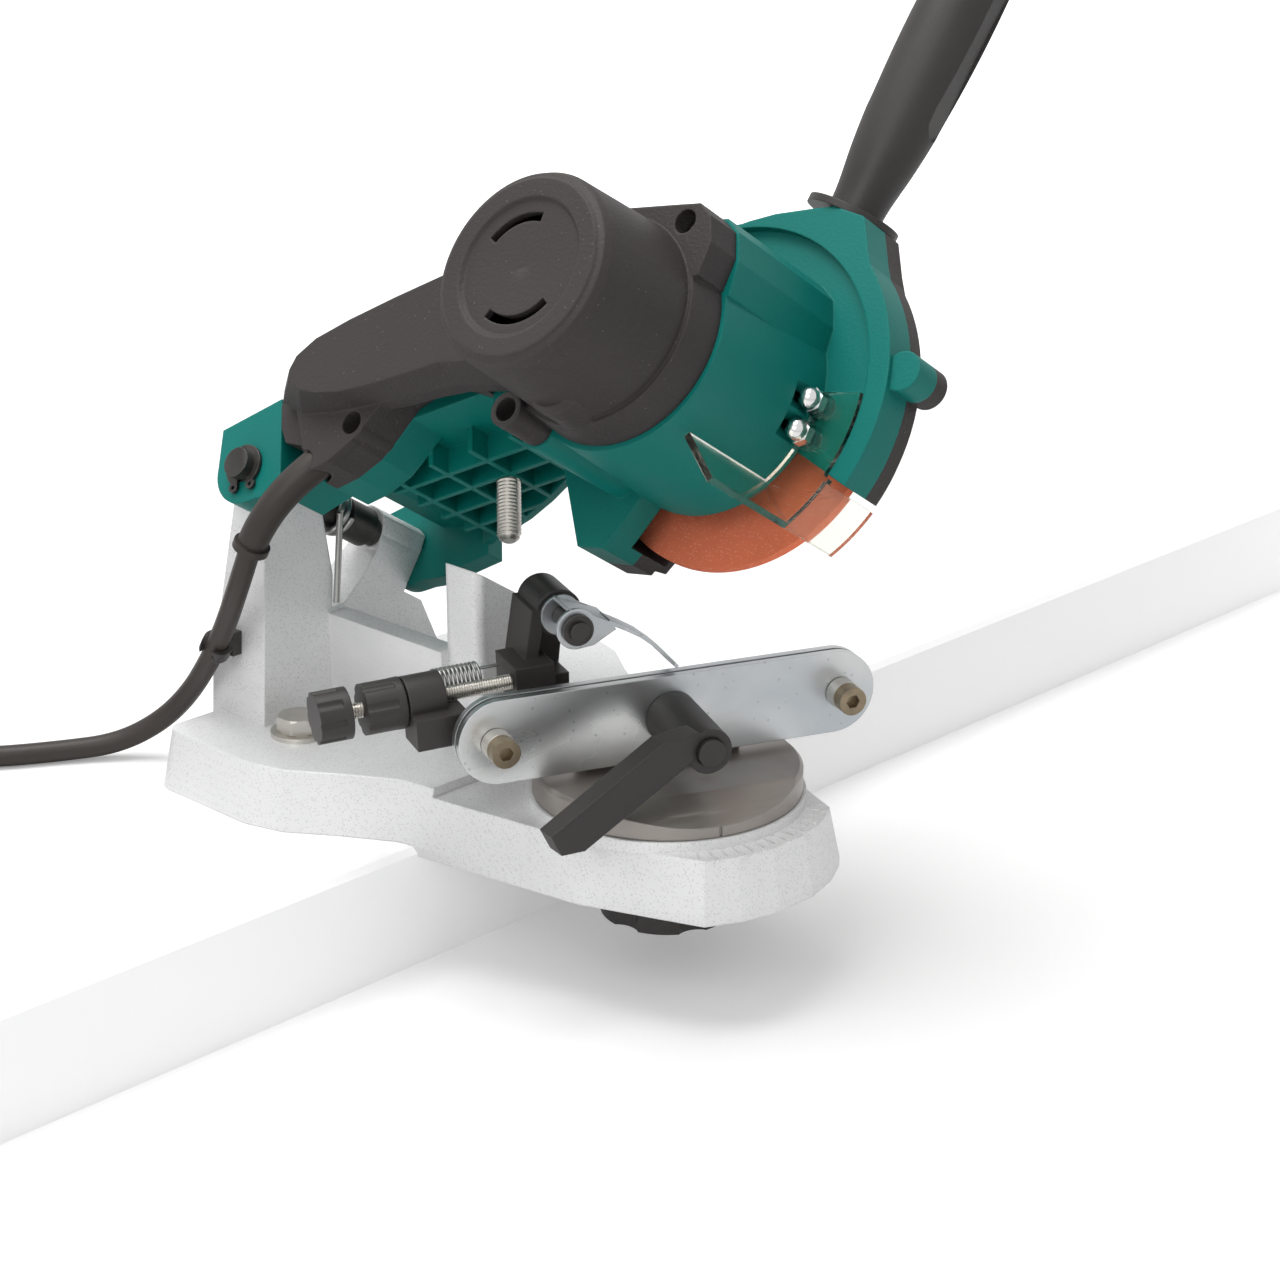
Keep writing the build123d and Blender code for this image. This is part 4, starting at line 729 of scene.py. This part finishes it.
class ThreadTree:
    """Geometry nodes that wind a screw's ridge round its core, along z from the origin.

    Attributes:
        steps: faces in one turn of the ridge.
        core_sides: faces round the core.
        ridge_sides: corners of the ridge's cross-section.
        weld: points nearer than this become one, in millimetres.
    """

    steps = 28
    core_sides = 32
    ridge_sides = 4
    weld = 0.001

    @cached_property
    def tree(self) -> bpy.types.NodeTree:
        """Builds the tree the first time, with its sizes as named inputs.

        Returns:
            The geometry node tree.
        """
        tree = bpy.data.node_groups.new("screw_thread", "GeometryNodeTree")
        for size in ("Radius", "Pitch", "Depth", "Length"):
            tree.interface.new_socket(name=size, in_out="INPUT", socket_type="NodeSocketFloat")
        tree.interface.new_socket(name="Material", in_out="INPUT", socket_type="NodeSocketMaterial")
        tree.interface.new_socket(name="Geometry", in_out="OUTPUT", socket_type="NodeSocketGeometry")
        given, end = add_node(tree, "NodeGroupInput").outputs, add_node(tree, "NodeGroupOutput")
        radius = math_node(tree, "SUBTRACT", given["Radius"], given["Depth"])
        helix = add_node(tree, "GeometryNodeCurveSpiral", {
            "Resolution": self.steps, "Start Radius": radius, "End Radius": radius,
            "Rotations": math_node(tree, "DIVIDE", given["Length"], given["Pitch"]),
            "Height": given["Length"]})
        upright = add_node(tree, "GeometryNodeSetCurveNormal", {"Curve": helix.outputs["Curve"]}, mode="Z_UP")
        section = add_node(tree, "GeometryNodeCurvePrimitiveCircle", {
            "Resolution": self.ridge_sides, "Radius": given["Depth"]})
        ridge = add_node(tree, "GeometryNodeCurveToMesh", {
            "Curve": upright.outputs["Curve"], "Profile Curve": section.outputs["Curve"], "Fill Caps": True})
        core = add_node(tree, "GeometryNodeMeshCylinder", {
            "Vertices": self.core_sides, "Radius": radius, "Depth": given["Length"]})
        half = math_node(tree, "MULTIPLY", given["Length"], 0.5)
        middle = add_node(tree, "ShaderNodeCombineXYZ", {"Z": half})
        moved = add_node(tree, "GeometryNodeTransform", {
            "Geometry": core.outputs["Mesh"], "Translation": middle.outputs["Vector"]})
        both = add_node(tree, "GeometryNodeJoinGeometry", {"Geometry": ridge.outputs["Mesh"]})
        feed(tree, both.inputs["Geometry"], moved.outputs["Geometry"])
        real = add_node(tree, "GeometryNodeRealizeInstances", {"Geometry": both.outputs["Geometry"]})
        dress = add_node(tree, "GeometryNodeSetMaterial", {
            "Geometry": real.outputs["Geometry"], "Material": given["Material"]})
        feed(tree, end.inputs["Geometry"], dress.outputs["Geometry"])
        return tree

    def mesh(self, size: ScrewSize, length: float, slot: str, place: Matrix) -> bmesh.types.BMesh:
        """Winds one screw.

        Args:
            size: its thread.
            length: how long it is, in millimetres.
            slot: its material slot.
            place: where its lower end is and which way it points.

        Returns:
            The plain mesh, in millimetres in the machine's frame.
        """
        values = {"Radius": size.radius, "Pitch": size.pitch, "Depth": size.depth, "Length": length}
        carrier = placed_in_scene("carrier", bpy.data.meshes.new("carrier"))
        modifier = carrier.modifiers.new("screw_thread", "NODES")
        modifier.node_group = self.tree
        for item in self.tree.interface.items_tree:
            if item.name in values:
                modifier[item.identifier] = values[item.name] * MM
            elif item.name == "Material":
                modifier[item.identifier] = Finishes.get(slot)
        shape = frozen(carrier)
        bmesh.ops.scale(shape, vec=(1 / MM,) * 3, verts=shape.verts)
        bmesh.ops.remove_doubles(shape, verts=shape.verts, dist=self.weld)
        bmesh.ops.recalc_face_normals(shape, faces=shape.faces)
        bmesh.ops.transform(shape, matrix=place, verts=shape.verts)
        return shape


THREADS = ThreadTree()


def joined(shapes: list[bmesh.types.BMesh]) -> bmesh.types.BMesh:
    """Joins meshes into one.

    Args:
        shapes: the meshes, which are freed.

    Returns:
        One mesh with all of them.
    """
    whole = bmesh.new()
    for shape in shapes:
        part = bpy.data.meshes.new("part")
        shape.to_mesh(part)
        shape.free()
        whole.from_mesh(part)
        bpy.data.meshes.remove(part)
    return whole


# ==== sub-assemblies =======================================================================
@dataclass
class MainsLead:
    """The mains lead: down from the strain relief, round the base and into a put-away coil.

    Sizes are in millimetres.

    Attributes:
        radius: half its thickness.
        route: its control points from the strain relief to the coil.
        centre: the coil's middle.
        columns: radii of the coil's turns, from the inside out.
        layers: heights of the coil's turns, from the bench up.
        entry: where the lead meets the coil, in degrees.
        step: the turn from one control point of the coil to the next, in degrees.
        stages: how far round, in which column and in which layer the coil changes.
        outset: how far control points stand outside the coil, for a spline that cuts corners.
        round_steps: how finely it is rounded.
        along_steps: how finely it is bent.
    """

    radius: float = 3.6
    route: tuple[Point, ...] = (
        (-45.4, -14.0, 117.4), (-54.8, -10.0, 111.7), (-62.8, -5.2, 102.6), (-67.6, 0.0, 90.9),
        (-68.1, 7.2, 75.0), (-64.5, 19.5, 57.5), (-62.5, 31.0, 42.0), (-61.6, 45.7, 24.3),
        (-67.3, 56.0, 12.6), (-77.9, 66.3, 5.2), (-92.0, 77.0, 3.7), (-113.0, 90.0, 3.7),
        (-128.0, 106.0, 3.7), (-141.0, 120.5, 3.7),
    )
    centre: tuple[float, float] = (-132.5, 154.6)
    columns: tuple[float, float, float] = (29.2, 36.4, 43.6)
    layers: tuple[float, float, float] = (3.7, 10.9, 18.1)
    entry: float = 222.4
    step: float = 20.0
    stages: tuple[tuple[float, int, int], ...] = (
        (0.0, 0, 0), (250.4, 0, 0), (320.4, 0, 1), (610.4, 0, 1), (680.4, 0, 2), (910.4, 0, 2),
        (965.4, 1, 2), (1270.4, 1, 2), (1325.4, 2, 2), (1595.4, 2, 2), (1650.4, 2, 1), (1897.4, 2, 1),
        (1952.4, 1, 1), (2139.4, 1, 1), (2200.4, 2, 0), (2202.4, 2, 0),
    )
    outset: float = 0.97
    round_steps: int = 5
    along_steps: int = 8

    def spot(self, turned: float) -> Point:
        """Gives a control point of the coil.

        Args:
            turned: how far round the coil it is, in degrees from where the lead meets it.

        Returns:
            The point, in millimetres.
        """
        for (start, column, layer), (end, next_column, next_layer) in zip(self.stages, self.stages[1:]):
            if turned <= end:
                share = (turned - start) / (end - start)
                share = share * share * (3 - 2 * share)
                radius = self.columns[column] + (self.columns[next_column] - self.columns[column]) * share
                height = self.layers[layer] + (self.layers[next_layer] - self.layers[layer]) * share
                break
        radius /= math.cos(math.radians(self.step / 2)) ** self.outset
        angle = math.radians(self.entry - turned)
        return (self.centre[0] + radius * math.cos(angle), self.centre[1] + radius * math.sin(angle), height)

    def curve(self) -> bpy.types.Curve:
        """Draws the lead as one smooth curve.

        Returns:
            The curve, in metres.
        """
        whole = self.stages[-1][0]
        count = round(whole / self.step)
        points = list(self.route) + [self.spot(whole * i / count) for i in range(count + 1)]
        curve = bpy.data.curves.new("mains_lead", "CURVE")
        curve.dimensions = "3D"
        curve.bevel_depth = self.radius * MM
        curve.bevel_resolution = self.round_steps
        curve.resolution_u = self.along_steps
        curve.use_fill_caps = True
        line = curve.splines.new("NURBS")
        line.points.add(len(points) - 1)
        for point, place in zip(line.points, points):
            point.co = (*[value * MM for value in place], 1.0)
        line.order_u = 3
        line.use_endpoint_u = True
        curve.materials.append(Finishes.get("black_rubber"))
        return curve

    def build(self) -> None:
        lead = placed_in_scene("mains_lead", self.curve())
        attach(lead, "base")
        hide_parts("cord", "cord_coil")
        length = self.length(lead)
        LOG.info("mains lead: %.3f m long", length)

    @staticmethod
    def length(lead: bpy.types.Object) -> float:
        """Measures the lead's middle line.

        Args:
            lead: the lead.

        Returns:
            Its length, in metres.
        """
        bare = lead.data.copy()
        bare.bevel_depth = 0.0
        line = frozen(placed_in_scene("bare_lead", bare))
        total = sum(edge.calc_length() for edge in line.edges)
        line.free()
        bpy.data.curves.remove(bare)
        return total


@dataclass
class DepthStop:
    """The threaded stud that limits how deep the wheel goes. Sizes are in millimetres.

    Attributes:
        size: its thread.
        at: where it stands in the head, along the arm and along the hinge.
        tip: its lower end in the head.
        top: its upper end in the head.
        chamfer: how high its rounded tip is.
        ends: how far the thread's ends stay inside the stud's.
        rounding: radii and heights of the tip's round end.
        root: how far the tip goes up into the thread.
        taper: how much narrower it is there than the thread's core.
    """

    size: ScrewSize = M8
    at: tuple[float, float] = (68.0, -20.0)
    tip: float = -28.0
    top: float = 41.0
    chamfer: float = 1.1
    ends: float = 0.6
    rounding: tuple[tuple[float, float], ...] = ((0, 0), (2.1, 0.05), (2.6, 0.4))
    root: float = 1.5
    taper: float = 0.01

    def build(self) -> bpy.types.Object:
        """Builds the stud with its thread and rounded tip.

        Returns:
            The stud.
        """
        place = TILT.head() @ Matrix.Translation((self.at[0], self.at[1], self.tip))
        length = self.top - self.tip - self.chamfer - 2 * self.ends
        thread = THREADS.mesh(self.size, length, "bright_steel",
                              place @ Matrix.Translation((0, 0, self.chamfer + self.ends)))
        rooted = self.chamfer + self.root
        tip = lathe([*self.rounding, (self.size.core, self.chamfer), (self.size.core - self.taper, rooted),
                     (0, rooted)], place)
        piece = new_piece("depth_stop_stud", joined([thread, tip]), "bright_steel", "depth_screw",
                          SCREW_SMOOTH)
        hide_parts("depth_stop")
        return piece


@dataclass
class ChainStopScrew:
    """The long adjusting screw of the chain stop. Sizes are in millimetres.

    Attributes:
        size: its thread.
        start: where it begins, from the knob's face.
        stop: where it ends.
        ends: how far the thread's ends stay inside the screw's.
    """

    size: ScrewSize = M5
    start: float = 3.0
    stop: float = 70.0
    ends: float = 0.5

    def build(self) -> bpy.types.Object:
        """Builds the threaded screw.

        Returns:
            The screw.
        """
        thread = THREADS.mesh(self.size, self.stop - self.start - 2 * self.ends, "bright_steel",
                              TILT.stop() @ Matrix.Translation((0, 0, self.start + self.ends)))
        piece = new_piece("chain_stop_screw", thread, "bright_steel", "adjuster", SCREW_SMOOTH)
        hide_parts("adjust_screw")
        return piece


@dataclass
class BenchBolts:
    """The two hexagon bolts that hold the base to the bench. Sizes are in millimetres.

    Attributes:
        size: their thread.
        spacing: from one to the other.
        deck: the height of the base under their washers.
        washer: a washer's thickness.
        head: a head's height.
        across: a head's width between two flats.
        foot: how far a head's lower corners are turned off, inward and upward.
        crown: how far its upper corners are turned off, inward and downward.
        turned: how far a head is turned, in radians.
        steps: points along each flat of a head.
        shank: a shank's radius.
        shank_sides: faces round a shank.
        overlap: how far a shank goes into the head and past the bench.
        reach: how far the bolts go below the bench top.
        ends: how far the thread's ends stay inside the bolt's.
    """

    size: ScrewSize = M8
    spacing: float = 104.0
    deck: float = 20.0
    washer: float = 1.6
    head: float = 5.3
    across: float = 13.0
    foot: tuple[float, float] = (0.5, 0.35)
    crown: tuple[float, float] = (0.85, 0.5)
    turned: float = 0.5
    steps: int = 4
    shank: float = 3.9
    shank_sides: int = 32
    overlap: float = 0.5
    reach: float = 38.0
    ends: float = 1.0

    def head_shape(self) -> bmesh.types.BMesh:
        """Builds a hexagon head with its corners turned off.

        Returns:
            The closed mesh, in millimetres, from the seat up.
        """
        shape = bmesh.new()
        corner = self.across / math.sqrt(3)
        levels = [(0.0, corner - self.foot[0]), (self.foot[1], corner),
                  (self.head - self.crown[1], corner), (self.head, corner - self.crown[0])]
        turn = 60 / self.steps
        rings = []
        for height, radius in levels:
            ring = []
            for flat in range(6):
                for part in range(self.steps):
                    angle = math.radians(60 * flat + turn * part)
                    reach = min(self.across / 2 / math.cos(math.radians(turn * part - 30)), radius)
                    ring.append(shape.verts.new((reach * math.cos(angle), reach * math.sin(angle), height)))
            rings.append(ring)
        for low, high in zip(rings, rings[1:]):
            for i in range(len(low)):
                j = (i + 1) % len(low)
                shape.faces.new((low[i], low[j], high[j], high[i]))
        shape.faces.new(list(reversed(rings[0])))
        shape.faces.new(rings[-1])
        bmesh.ops.recalc_face_normals(shape, faces=shape.faces)
        return shape

    def build(self) -> bpy.types.Object:
        """Builds both bolts as one piece.

        Returns:
            The piece.
        """
        seat = self.deck + self.washer
        parts = []
        for side in (-1, 1):
            place = Matrix.Translation((side * self.spacing / 2, 0, 0))
            seated = place @ Matrix.Translation((0, 0, seat)) @ Matrix.Rotation(self.turned, 4, "Z")
            head = self.head_shape()
            bmesh.ops.transform(head, matrix=seated, verts=head.verts)
            thread = THREADS.mesh(self.size, self.reach - 2 * self.ends, "bright_steel",
                                  place @ Matrix.Translation((0, 0, -self.reach + self.ends)))
            shank = lathe([(0, -self.overlap), (self.shank, -self.overlap), (self.shank, seat + self.overlap),
                           (0, seat + self.overlap)], place, self.shank_sides)
            parts += [head, thread, shank]
        piece = new_piece("bench_bolts_dressed", joined(parts), "bright_steel", "base", SCREW_SMOOTH)
        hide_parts("bench_bolts")
        return piece


@dataclass
class TurnScale:
    """The cast numerals beside the scale on the nose. Sizes are in millimetres.

    Attributes:
        radius: how far they stand from the turntable's axis.
        size: how tall their letters are.
        proud: how far they stand up.
        bevel: how far their edges are rounded.
        swell: how much fatter than drawn they are.
        top: the height of the nose.
        marks: the angles they stand at, in degrees.
        smooth: edges flatter than this are shaded smooth, in degrees.
    """

    radius: float = 51.0
    size: float = 3.1
    proud: float = 0.35
    bevel: float = 0.08
    swell: float = 0.05
    top: float = 17.0
    marks: tuple[int, ...] = (-30, -20, -10, 0, 10, 20, 30)
    smooth: float = 35.0

    def numeral(self, mark: int) -> bmesh.types.BMesh:
        """Builds one numeral.

        Args:
            mark: its angle, in degrees.

        Returns:
            Its mesh, in millimetres, standing in place.
        """
        text = bpy.data.curves.new("numeral", "FONT")
        text.body = str(abs(mark))
        text.size = self.size
        text.align_x = "CENTER"
        text.align_y = "CENTER"
        text.extrude = self.proud
        text.bevel_depth = self.bevel
        text.offset = self.swell
        shape = frozen(placed_in_scene("numeral", text))
        bpy.data.curves.remove(text)
        angle = math.radians(-90 + mark)
        spot = (self.radius * math.cos(angle), TILT.table[1] + self.radius * math.sin(angle), self.top)
        place = Matrix.Translation(spot) @ Matrix.Rotation(math.radians(mark), 4, "Z")
        bmesh.ops.transform(shape, matrix=place, verts=shape.verts)
        return shape

    def build(self) -> bpy.types.Object:
        """Builds the seven numerals as one raised piece.

        Returns:
            The piece.
        """
        whole = joined([self.numeral(mark) for mark in self.marks])
        return new_piece("scale_numerals", whole, "cast_aluminium", "base", self.smooth, "crisp_casting")


class CarriedOver:
    """The solids whose shapes are right as they are.

    Attributes:
        looks: finishes of the solids that don't take their slot's own.
    """

    looks = {"guide_screws": "warm_steel"}

    def dress(self) -> int:
        """Gives each its finish.

        Returns:
            How many were dressed.
        """
        slots = {item["node"]: item["material_slot"] for item in frame["record"]["subparts"]}
        for name, node in frame["nodes"].items():
            look = Finishes.get(self.looks.get(name, slots[name]))
            if not node.material_slots:
                node.data.materials.append(look)
            for place in node.material_slots:
                place.material = look
        return len(slots)


# ==== studio ===============================================================================
@dataclass(frozen=True)
class Lamp:
    """A soft square lamp. Sizes are in metres.

    Attributes:
        name: its name.
        at: where it hangs.
        aim: the point it faces.
        size: its width and height.
        power: its power, in watts.
    """

    name: str
    at: Point
    aim: Point
    size: float
    power: float

    def hang(self) -> None:
        """Hangs it in the scene."""
        data = bpy.data.lights.new(self.name, "AREA")
        data.shape = "SQUARE"
        data.size = self.size
        data.energy = self.power
        lamp = placed_in_scene(self.name, data)
        turn = (Vector(self.at) - Vector(self.aim)).to_track_quat("Z", "Y").to_matrix().to_4x4()
        lamp.matrix_world = Matrix.Translation(self.at) @ turn


@dataclass
class Studio:
    """A pale bench top with a lower floor in front of it, soft lamps and the camera.

    Sizes are in metres.

    Attributes:
        camera_at: where the camera stands.
        heading: which way it looks, in degrees about z from straight ahead.
        above: how far it looks down, in degrees.
        roll: how far it is turned about its own line of sight, in degrees.
        lens: its focal length, in millimetres.
        sensor: how wide its sensor is, in millimetres.
        clip: the nearest and the farthest it sees.
        far: how far the bench and the floor reach.
        bench_front: where the bench's front edge is.
        bench_top: the height of the bench top, just under the machine.
        bench_edge: how much of the bench's front edge is cut off.
        lower: the height of the lower floor.
        under: how far the lower floor goes under the bench.
        glow: how the floor's own light grows with distance in metres.
        ambient: how strong a light the surroundings are, beside how bright they look.
        mirrored: how bright they look in a shiny surface.
        lamps: the lamps.
    """

    camera_at: Point = (-0.6355, -0.7227, 0.3955)
    heading: float = -45.86
    above: float = 20.39
    roll: float = -0.06
    lens: float = 84.89
    sensor: float = 36.0
    clip: tuple[float, float] = (0.02, 30.0)
    far: float = 3.0
    bench_front: float = -0.0625
    bench_top: float = -0.0001
    bench_edge: float = 0.002
    lower: float = -0.0405
    under: float = 0.01
    glow: dict[str, float] = field(default_factory=lambda: {
        "From Min": 0.25, "From Max": 1.1, "To Min": 0.2, "To Max": 0.95})
    ambient: float = 0.42
    mirrored: float = 0.85
    lamps: tuple[Lamp, ...] = (
        Lamp("overhead", (-0.15, 0.15, 1.35), (0.0, -0.02, 0.08), 1.0, 15.0),
        Lamp("key", (-1.15, -0.55, 0.95), (0.0, -0.02, 0.1), 0.8, 4.6),
    )

    def camera(self) -> None:
        """Sets the camera up."""
        data = bpy.data.cameras.new("camera")
        data.lens = self.lens
        data.sensor_width = self.sensor
        data.clip_start, data.clip_end = self.clip
        camera = placed_in_scene("camera", data)
        turn, tip = math.radians(self.heading), math.radians(self.above)
        back = Vector((math.sin(turn) * math.cos(tip), -math.cos(turn) * math.cos(tip), math.sin(tip)))
        right = Vector((math.cos(turn), math.sin(turn), 0))
        pose = placed(self.camera_at, right, back.cross(right), back)
        camera.matrix_world = pose @ Matrix.Rotation(math.radians(self.roll), 4, "Z")
        bpy.context.scene.camera = camera

    @staticmethod
    def seen(tree: bpy.types.NodeTree, path: bpy.types.Node) -> bpy.types.NodeSocket:
        """Finds what the camera sees straight or through clear plastic.

        Args:
            tree: the node tree it goes into.
            path: the tree's Light Path node.

        Returns:
            A socket that is 1 there and 0 for all other light.
        """
        return math_node(tree, "MAXIMUM", path.outputs["Is Camera Ray"], path.outputs["Is Transmission Ray"])

    def floor_material(self) -> bpy.types.Material:
        """Makes a pale floor that shows white where nothing shades it.

        Returns:
            The material.
        """
        made = bpy.data.materials.new("pale_floor")
        made.use_nodes = True
        tree = made.node_tree
        shader = tree.nodes["Principled BSDF"]
        shader.inputs["Base Color"].default_value = (0.90, 0.90, 0.90, 1.0)
        shader.inputs["Roughness"].default_value = 0.9
        shader.inputs["Emission Color"].default_value = (1.0, 1.0, 1.0, 1.0)
        place = add_node(tree, "ShaderNodeTexCoord")
        away = add_node(tree, "ShaderNodeVectorMath", {0: place.outputs["Object"]}, operation="LENGTH")
        glow = add_node(tree, "ShaderNodeMapRange", {**self.glow, "Value": away.outputs["Value"]},
                        interpolation_type="SMOOTHSTEP")
        seen = self.seen(tree, add_node(tree, "ShaderNodeLightPath"))
        level = math_node(tree, "MULTIPLY", seen, glow.outputs["Result"])
        feed(tree, shader.inputs["Emission Strength"], level)
        return made

    def floor(self) -> None:
        """Builds the bench top and the lower floor."""
        shape = bmesh.new()
        far, front, top, edge = self.far, self.bench_front, self.bench_top, self.bench_edge
        outline = [(front, self.lower), (front, top - edge), (front + edge, top), (far, top)]
        left = [shape.verts.new((-far, y, z)) for y, z in outline]
        right = [shape.verts.new((far, y, z)) for y, z in outline]
        for i in range(len(outline) - 1):
            shape.faces.new((left[i], right[i], right[i + 1], left[i + 1]))
        corners = ((-far, -far), (far, -far), (far, front + self.under), (-far, front + self.under))
        shape.faces.new([shape.verts.new((x, y, self.lower)) for x, y in corners])
        mesh = bpy.data.meshes.new("bench_and_floor")
        shape.to_mesh(mesh)
        shape.free()
        mesh.materials.append(self.floor_material())
        placed_in_scene("bench_and_floor", mesh)

    def world(self) -> None:
        """Makes the white surroundings, dimmer as a light than as a background."""
        world = bpy.data.worlds.new("studio")
        bpy.context.scene.world = world
        world.use_nodes = True
        tree = world.node_tree
        back = tree.nodes["Background"]
        back.inputs["Color"].default_value = (1.0, 1.0, 1.0, 1.0)
        path = add_node(tree, "ShaderNodeLightPath")
        shone = math_node(tree, "MULTIPLY", path.outputs["Is Glossy Ray"], self.mirrored)
        bright = math_node(tree, "MAXIMUM", self.seen(tree, path), shone)
        feed(tree, back.inputs["Strength"], math_node(tree, "MAXIMUM", bright, self.ambient))

    def build(self) -> None:
        """Sets up the whole studio."""
        bpy.context.scene.view_settings.view_transform = "Standard"
        self.camera()
        self.floor()
        self.world()
        for lamp in self.lamps:
            lamp.hang()


def main() -> None:
    """Builds and dresses the machine."""
    logging.basicConfig(level=logging.INFO, format="%(message)s")
    Studio().build()
    LOG.info("dressed %d solids", CarriedOver().dress())
    MainsLead().build()
    for maker in (DepthStop(), ChainStopScrew(), BenchBolts(), TurnScale()):
        piece = maker.build()
        LOG.info("%s: %d faces", piece.name, len(piece.data.polygons))


if __name__ == "__main__":
    main()
